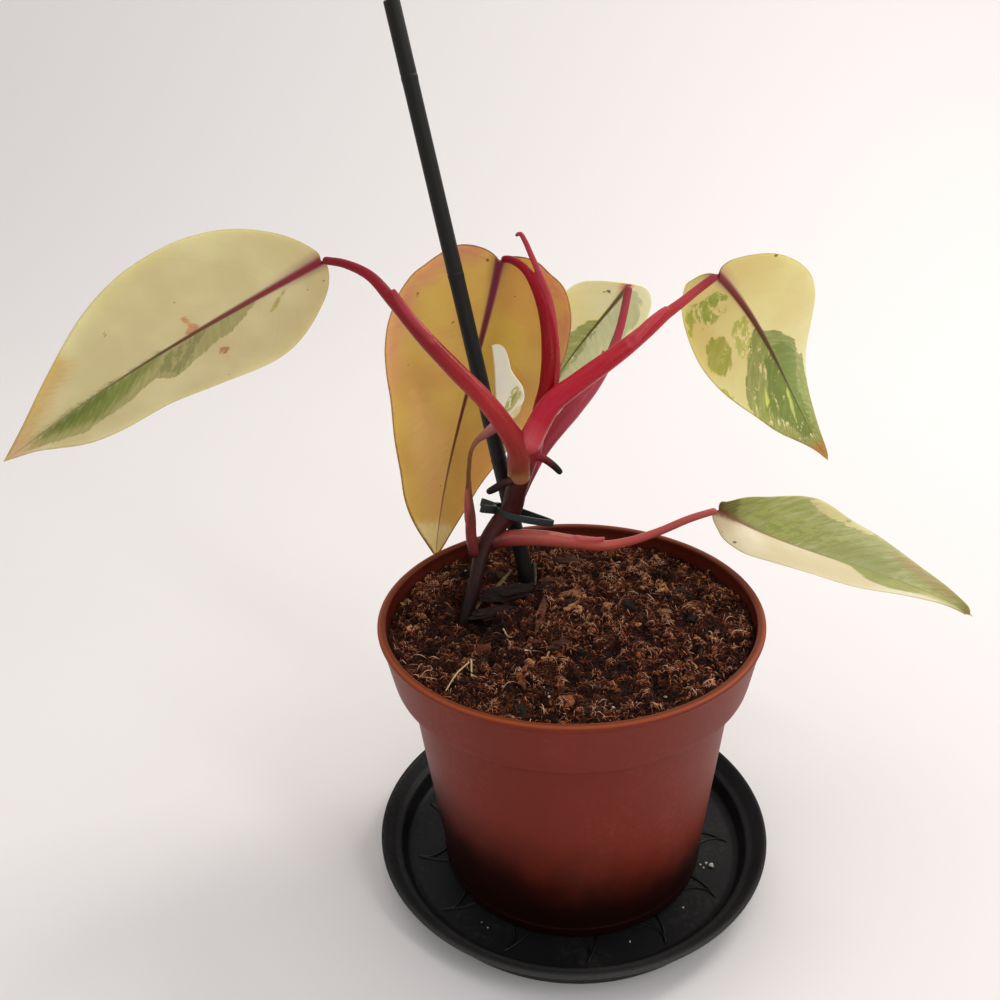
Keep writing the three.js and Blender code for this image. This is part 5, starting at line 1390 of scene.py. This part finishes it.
def draw_clip():
    """A spring loop with a pointed nose and two finger tabs, its edges eased."""
    closed = np.array(CLIP_LOOP + CLIP_LOOP[:3], float)
    count = len(CLIP_LOOP)
    shares = (np.arange(72) / 72 * count + 1) / (len(closed) - 1)
    line = smooth_curve(closed, shares)
    bm = bmesh.new()
    ring = [bm.verts.new((x, y, -CLIP_HEIGHT / 2)) for x, y in line]
    edges = [bm.edges.new((a, b)) for a, b in zip(ring, ring[1:] + ring[:1])]
    raised = bmesh.ops.extrude_edge_only(bm, edges=edges)["geom"]
    top = [item for item in raised if isinstance(item, bmesh.types.BMVert)]
    bmesh.ops.translate(bm, vec=(0, 0, CLIP_HEIGHT), verts=top)
    bmesh.ops.recalc_face_normals(bm, faces=bm.faces)
    bmesh.ops.solidify(bm, geom=bm.faces[:], thickness=CLIP_WALL)
    bmesh.ops.recalc_face_normals(bm, faces=bm.faces)
    for low, high in CLIP_TABS:
        tab = bmesh.ops.create_cube(bm, size=1)["verts"]
        way = Vector((-CLIP_TAB_REACH, high - low, 0))
        turn = math.atan2(way.y, way.x)
        bmesh.ops.scale(bm, vec=(way.length + 2, CLIP_TAB_THICKNESS, CLIP_HEIGHT + 0.6), verts=tab)
        bmesh.ops.rotate(bm, matrix=Matrix.Rotation(turn, 3, "Z"), verts=tab)
        bmesh.ops.translate(bm, vec=(CLIP_TAB_START + way.x / 2, (low + high) / 2, 0), verts=tab)
    creases = [e for e in bm.edges if len(e.link_faces) == 2 and e.calc_face_angle() > 0.9]
    round_edges(bm, creases, radius=0.35, segments=3)
    along = Vector((0, 1, 0)).cross(CLIP_UP).normalized()
    back = CLIP_UP.cross(along).normalized()
    basis = Matrix((along, back, CLIP_UP)).transposed().to_4x4()
    bmesh.ops.transform(bm, matrix=Matrix.Translation(CLIP_CENTRE) @ basis, verts=bm.verts)
    return bm


def draw_rays(rays, radius):
    """Thin raised lines on the saucer's floor, two to each flame-shaped ray."""
    bm = bmesh.new()
    for ray in range(rays):
        turn = math.radians(RAY_START + 360 / rays * ray)
        for way in (-1, 1):
            stops = []
            for t in (0, 0.25, 0.5, 0.75, 1):
                r = RAY_INNER + (RAY_OUTER - RAY_INNER) * t
                swing = way * RAY_SPREAD * (1 - t) ** 2 + RAY_CURL * math.sin(math.pi * t)
                angle = turn + math.radians(swing)
                height = SAUCER_FLOOR + 0.2 * radius
                stops.append([r * math.cos(angle), r * math.sin(angle), height, radius])
            add_tube(bm, stops, sides=8, spacing=1.2)
    return bm


def draw_grit():
    """The grains that lie spilt on the saucer's floor."""
    bm = bmesh.new()
    bmesh.ops.create_icosphere(bm, subdivisions=2, radius=1)
    pieces = strewn(bm, len(SPILT_GRIT))
    for index, (x, y, size) in enumerate(SPILT_GRIT):
        place = Vector((x, y, SAUCER_FLOOR + 0.6 * size))
        half = (size, 0.8 * size, 0.7 * size)
        shape_lump(pieces[index], place, half, Matrix.Rotation(index, 3, "Z"), index)
    float_layer(bm, "tint", [0.7] * len(bm.verts))
    return bm


def draw_pot():
    """The turned pot with its drain holes."""
    bm = turned(rounded(POT_PROFILE, radius=0.7), steps=200)
    drills = bmesh.new()
    for index in range(DRAIN_HOLES):
        turn = (index + 0.5) * 2 * math.pi / DRAIN_HOLES
        at = Matrix.Translation((DRAIN_CIRCLE * math.cos(turn), DRAIN_CIRCLE * math.sin(turn), 7))
        drill = {"segments": 32, "radius1": DRAIN_RADIUS, "radius2": DRAIN_RADIUS, "depth": 10}
        bmesh.ops.create_cone(drills, cap_ends=True, matrix=at, **drill)
    cutter = in_scene("drills", written(drills, "drills"))
    bm = with_modifiers(bm, ("BOOLEAN", {"operation": "DIFFERENCE", "object": cutter, "solver": "EXACT"}))
    bpy.data.objects.remove(cutter)
    return bm


# Floor, lights and camera, in metres and degrees

FLOOR_HALF = (5, 2.8)  # half the paper's width and depth
FLOOR_FORWARD = 1  # its middle lies this far towards the camera
WALL_HEIGHT = 3
BEND_RADIUS = 0.9  # where the paper bends from the floor to the wall
LIT_PLACE = Vector((0, 0.03, 0.15))
# Each light: name, place, width and height, the setting with its power, colour.
LIGHTS = (
    ("window", (1.1, 0.9, 1.5), (0.7, 0.7), "key_power", "#fffaf4"),
    ("overhead", (-0.1, 0.2, 1.8), (1.4, 1.4), "fill_power", "#ffffff"),
    ("strip", (0.7, -0.65, 0.95), (0.14, 0.8), "strip_power", "#ffffff"),
)
CAMERA_PLACE = (0, -0.3824, 0.3687)
CAMERA_TURN = (64.95, 2.202, 3.261)
FOCAL_LENGTH = 35.99  # in mm, like the sensor
SENSOR_WIDTH = 36


def draw_floor():
    """A sheet of paper that lies on the floor and bends up into a wall behind the plant."""
    bm = bmesh.new()
    bmesh.ops.create_grid(bm, x_segments=1, y_segments=1, size=1)
    bmesh.ops.scale(bm, vec=(*FLOOR_HALF, 1), verts=bm.verts)
    bmesh.ops.translate(bm, vec=(0, -FLOOR_FORWARD, 0), verts=bm.verts)
    back = [e for e in bm.edges if all(v.co.y > 0 for v in e.verts)]
    raised = bmesh.ops.extrude_edge_only(bm, edges=back)["geom"]
    tops = [v for v in raised if isinstance(v, bmesh.types.BMVert)]
    bmesh.ops.translate(bm, vec=(0, 0, WALL_HEIGHT), verts=tops)
    round_edges(bm, back, BEND_RADIUS, segments=16)
    return bm


# Settings

def colour_property(name, text, description):
    """A colour given as a hex value and kept as linear."""
    return FloatVectorProperty(
        name=name, description=description, subtype="COLOR", size=3, min=0, max=1, default=linear(text),
    )


def length_property(name, default, description, least=0):
    """A length in metres."""
    return FloatProperty(name=name, description=description, default=default, unit="LENGTH", min=least)


def share_property(name, default, description, least=0):
    """A share from nothing to all."""
    return FloatProperty(
        name=name, description=description, default=default, min=least, max=1, subtype="FACTOR",
    )


def count_property(name, default, description, most, least=0):
    """A whole number of things."""
    return IntProperty(name=name, description=description, default=default, min=least, max=most)


def power_property(name, default, description):
    """The power of a light in watts."""
    return FloatProperty(name=name, description=description, default=default, unit="POWER")


class PotSettings(PropertyGroup):
    """Finish of the pot and the saucer"""

    ray_count: count_property("Rays", 13, "Sun rays on the saucer's floor", 40, 3)
    ray_height: length_property("Ray height", 0.00055, "Radius of the raised lines", 0.0001)
    pot_colour: colour_property("Pot", "#6c2314", "Terracotta plastic")
    # Painted light on the lip: paler where light comes through its thin edge.
    lip_light_colour: colour_property("Lip", "#8a3d1c", "Terracotta plastic where it is thin and rubbed")
    # Painted shade with a damp stain, low on the pot.
    shade_and_stain_colour: colour_property("Stain", "#120504", "Damp stain low on the pot")
    saucer_colour: colour_property("Saucer", "#121213", "Black plastic")
    pot_roughness: share_property("Pot roughness", 0.42, "Gloss of the pot's skin", 0.05)
    saucer_roughness: share_property("Saucer roughness", 0.5, "Gloss of the saucer", 0.05)


class SoilSettings(PropertyGroup):
    """What lies in and on the soil"""

    seed: IntProperty(name="Seed", description="Where the loose pieces fall", default=11)
    damp_colour: colour_property("Damp mix", "#331910", "Coir that is damp")
    fibre_colour: colour_property("Fibres", "#5e311e", "Coir fibres in the mix")
    fuzz: count_property("Fuzz", 12500, "Short coir fibres in each of two layers", 14000)
    fibres: count_property("Fibres", 1500, "Long coir fibres", 4000)
    crumbs: count_property("Crumbs", 3200, "Crumbs of coir and fine bark", 9000)
    chips: count_property("Bark chips", 90, "Larger pieces of bark", 600)
    perlite: count_property("Perlite", 45, "White grains", 300)


class StalkSettings(PropertyGroup):
    """Skin of the stem and the stalks, and the colours of what holds them up"""

    voxel: length_property("Skin cell", 0.00055, "Cell of the fused skin", 0.0003)
    cane_colour: colour_property("Cane", "#15140f", "Dyed bamboo")
    clip_colour: colour_property("Clip", "#272d2b", "Plastic plant clip")
    gloss: share_property("Roughness", 0.2, "Gloss of the stalks", 0.05)
    streaks: share_property("Streaks", 0.06, "Strength of the pale lines")


class BladeSettings(PropertyGroup):
    """Leaf blades"""

    cell: length_property("Cell", 0.0012, "Spacing of the mesh on a blade", 0.0006)
    vein_spacing: length_property("Vein spacing", 0.0075, "Side veins along the midrib", 0.002)
    vein_relief: length_property("Vein relief", 0.00004, "Swell between the side veins")
    spot_colour: colour_property("Specks", "#4e3018", "Dry specks on the leaves")
    gloss: share_property("Roughness", 0.42, "Gloss of the leaf's skin", 0.05)
    glow: share_property("Glow", 0.8, "Light let through the blade")


class StageSettings(PropertyGroup):
    """Floor and light"""

    floor_colour: colour_property("Floor", "#ece8e6", "Pale seamless paper")
    key_power: power_property("Key light", 17, "Power of the big window light")
    fill_power: power_property("Top light", 3.5, "Power of the soft top light")
    strip_power: power_property("Side light", 2.8, "Power of the narrow light that draws highlights")
    sky: FloatProperty(
        name="Room light", description="Strength of the even room light", default=0.73, min=0,
    )


# Operators

class PLANT_OT_saucer(Operator):
    """Makes the drip saucer"""

    bl_idname = "plant.make_saucer"
    bl_label = "Saucer"

    def execute(self, context):
        look = context.scene.plant_pot
        # The saucer's outside is painted a paler grey on its -Y side: painted light.
        matt = {"roughness": look.saucer_roughness, "dust": 0.05, "painted_front_light": 0.28}
        finish = moulded_finish("black polypropylene, moulded", look.saucer_colour, **matt)
        tray = turned(rounded(SAUCER_PROFILE, radius=0.9), steps=200)
        finish_piece(tray, "drip_saucer", [finish], ["saucer"], sharp=40)
        rays = draw_rays(look.ray_count, look.ray_height / MM)
        # The raised lines are painted darker: painted shade.
        finish_piece(rays, "saucer_sun_rays", [shaded_line_finish()])
        grit = tinted_finish("spilt perlite", SPILT_SHADES, grain=0.0008, roughness=0.9, relief=0.0003)
        finish_piece(draw_grit(), "spilt_grit", [grit])
        return {"FINISHED"}


class PLANT_OT_pot(Operator):
    """Makes the nursery pot"""

    bl_idname = "plant.make_pot"
    bl_label = "Pot"

    def execute(self, context):
        look = context.scene.plant_pot
        name = "terracotta polypropylene, moulded"
        # The pot's lip gets painted light, and its low wall painted shade with a damp stain.
        finish = moulded_finish(name, look.pot_colour, look.pot_roughness, dust=0.05, pot=look)
        finish_piece(draw_pot(), "nursery_pot", [finish], ["pot"], sharp=40)
        return {"FINISHED"}


class PLANT_OT_soil(Operator):
    """Makes the soil and what lies on it"""

    bl_idname = "plant.make_soil"
    bl_label = "Soil"

    def execute(self, context):
        mix = context.scene.plant_soil
        draw = np.random.default_rng(mix.seed)
        bed = coir_mix_finish(mix.damp_colour, mix.fibre_colour)
        finish_piece(draw_soil(), "potting_mix", [bed], ["soil"])
        fibre = tinted_finish("dry coir fibre", COIR_SHADES, grain=0.002, roughness=0.85, relief=0.0001)
        for name, setting, *shape in FIBRE_LAYERS:
            finish_piece(draw_fibres(getattr(mix, setting), draw, *shape), name, [fibre])
        crumb = tinted_finish("coir and bark crumb", BARK_SHADES, grain=0.0015, roughness=0.9, relief=0.0005)
        crumbs = draw_chips(mix.crumbs, draw, (0.3, 1.2), flatness=0.7, detail=1, spread=79, lift=0.1)
        finish_piece(crumbs, "coir_crumbs", [crumb], sharp=60)
        chip = tinted_finish("pine bark chip", BARK_SHADES, grain=0.003, roughness=0.85, relief=0.0006)
        chips = draw_chips(mix.chips, draw, (1.2, 3.2), flatness=0.4, detail=2, spread=75, lift=-0.15)
        finish_piece(chips, "bark_chips", [chip], sharp=60)
        clod = tinted_finish("fibrous clod", CLOD_SHADES, grain=0.0025, roughness=0.9, relief=0.001)
        finish_piece(draw_lumps(), "clods", [clod], sharp=35)
        grit = tinted_finish("expanded perlite", PERLITE_SHADES, grain=0.001, roughness=0.95, relief=0.0003)
        grains = draw_chips(mix.perlite, draw, (0.25, 0.6), flatness=0.8, detail=2, spread=76, lift=1.0)
        finish_piece(grains, "perlite", [grit])
        for name, stops in TWIGS.items():
            skin = {"grain": 0.0012, "roughness": 0.85, "relief": 0.0004}
            finish = tinted_finish(name.replace("_", " "), TWIG_SHADES[name], **skin)
            finish_piece(draw_twig(stops), name, [finish])
        return {"FINISHED"}


class PLANT_OT_support(Operator):
    """Makes the cane and the clip"""

    bl_idname = "plant.make_support"
    bl_label = "Cane and clip"

    def execute(self, context):
        look = context.scene.plant_stalk
        skins = [bamboo_finish(look.cane_colour), cut_bamboo_finish()]
        finish_piece(draw_cane(), "bamboo_cane", skins, ["cane"], sharp=45)
        name = "grey-green plant clip plastic, moulded"
        finish = moulded_finish(name, look.clip_colour, roughness=0.38, dust=0.15)
        finish_piece(draw_clip(), "plant_clip", [finish], ["clip"], sharp=40)
        return {"FINISHED"}


class PLANT_OT_stem(Operator):
    """Makes the stem and its aerial roots"""

    bl_idname = "plant.make_stem"
    bl_label = "Stem"

    def execute(self, context):
        look = context.scene.plant_stalk
        rods = [(STEM_STOPS, ROD_SIDES)] + [(stops, THIN_SIDES) for stops in ROOT_STOPS]
        bm = drawn_together(rods, look.voxel / MM)
        write_along(bm, STEM_STOPS)
        bark = {"gloss": 0.36, "streaks": 0.06, "edge_colour": "#1c1413", "edge_share": 1.0}
        finish = stalk_finish("woody aroid stem", STEM_COLOURS, **bark)
        finish_piece(bm, "plant_stem", [finish], ["stem"])
        return {"FINISHED"}


class PLANT_OT_stalks(Operator):
    """Makes the leaf stalks"""

    bl_idname = "plant.make_stalks"
    bl_label = "Leaf stalks"

    def execute(self, context):
        look = context.scene.plant_stalk
        for name, stalk in STALKS.items():
            rods = [(stalk["main"], ROD_SIDES), (stalk["sheath"], THIN_SIDES)]
            bm = drawn_together(rods, look.voxel / MM)
            write_along(bm, stalk["main"], stalk["sheath"])
            skin = name.replace("_", " ") + " skin"
            edge = {"edge_colour": "#cc5660", "edge_share": 0.4}
            finish = stalk_finish(skin, stalk["colours"], look.gloss, look.streaks, **edge)
            finish_piece(bm, name.replace("petiole", "stalk"), [finish], [name])
        return {"FINISHED"}


class PLANT_OT_blades(Operator):
    """Makes the leaf blades"""

    bl_idname = "plant.make_blades"
    bl_label = "Leaf blades"

    def execute(self, context):
        look = context.scene.plant_blade
        for name, blade in BLADES.items():
            finish = leaf_finish(name.replace("_", " ") + ", marbled aroid leaf", blade, look)
            leaf = draw_blade(blade, look)
            finish_piece(leaf, name.replace("blade", "leaf"), [finish], [name])
        return {"FINISHED"}


class PLANT_OT_stage(Operator):
    """Makes the floor, the lights and the camera"""

    bl_idname = "plant.make_stage"
    bl_label = "Stage"

    def execute(self, context):
        scene = context.scene
        look = scene.plant_stage
        paper, node = start_material("pale seamless paper")
        close_material(node, rgba(look.floor_colour), {"Roughness": 0.85, "Specular IOR Level": 0.2})
        mesh = written(draw_floor(), "floor")
        mesh.shade_smooth()
        mesh.materials.append(paper)
        floor = in_scene("floor", mesh)
        for name, place, (wide, tall), setting, tone in LIGHTS:
            light = bpy.data.lights.new(name, "AREA")
            light.shape = "RECTANGLE"
            light.size = wide
            light.size_y = tall
            light.energy = getattr(look, setting)
            light.color = linear(tone)
            lamp = in_scene(name, light)
            lamp.location = place
            lamp.rotation_euler = (LIT_PLACE - Vector(place)).to_track_quat("-Z", "Y").to_euler()
        world = bpy.data.worlds.new("room")
        world.use_nodes = True
        world.node_tree.nodes.clear()
        node = partial(add, world.node_tree)
        node("OutputWorld", node("Background", rgba("#f4f4f6"), look.sky))
        scene.world = world
        scene.view_settings.view_transform = "Standard"
        lens = bpy.data.cameras.new("camera")
        lens.lens = FOCAL_LENGTH
        lens.sensor_width = SENSOR_WIDTH
        camera = in_scene("camera", lens)
        camera.location = CAMERA_PLACE
        camera.rotation_euler = [math.radians(turn) for turn in CAMERA_TURN]
        scene.camera = camera
        return {"FINISHED"}


OPERATORS = (
    PLANT_OT_saucer, PLANT_OT_pot, PLANT_OT_soil, PLANT_OT_support, PLANT_OT_stem, PLANT_OT_stalks,
    PLANT_OT_blades, PLANT_OT_stage,
)
SETTINGS = {
    "plant_pot": PotSettings, "plant_soil": SoilSettings, "plant_stalk": StalkSettings,
    "plant_blade": BladeSettings, "plant_stage": StageSettings,
}


class PLANT_PT_panel(Panel):
    """Lists the plant's pieces and their settings"""

    bl_label = "Potted philodendron"
    bl_space_type = "VIEW_3D"
    bl_region_type = "UI"
    bl_category = "Plant"

    def draw(self, context):
        for operator in OPERATORS:
            self.layout.operator(operator.bl_idname)
        for key in SETTINGS:
            group = getattr(context.scene, key)
            box = self.layout.box()
            for prop in group.bl_rna.properties:
                if prop.identifier not in {"rna_type", "name"}:
                    box.prop(group, prop.identifier)


def register():
    for group in SETTINGS.values():
        bpy.utils.register_class(group)
    for key, group in SETTINGS.items():
        setattr(bpy.types.Scene, key, PointerProperty(type=group))
    for operator in OPERATORS:
        bpy.utils.register_class(operator)
    bpy.utils.register_class(PLANT_PT_panel)


def unregister():
    bpy.utils.unregister_class(PLANT_PT_panel)
    for operator in reversed(OPERATORS):
        bpy.utils.unregister_class(operator)
    for key in SETTINGS:
        delattr(bpy.types.Scene, key)
    for group in SETTINGS.values():
        bpy.utils.unregister_class(group)


def main():
    register()
    bpy.ops.plant.make_stage()
    bpy.ops.plant.make_saucer()
    bpy.ops.plant.make_pot()
    bpy.ops.plant.make_soil()
    bpy.ops.plant.make_support()
    bpy.ops.plant.make_stem()
    bpy.ops.plant.make_stalks()
    bpy.ops.plant.make_blades()
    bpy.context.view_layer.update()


if __name__ == "__main__":
    main()
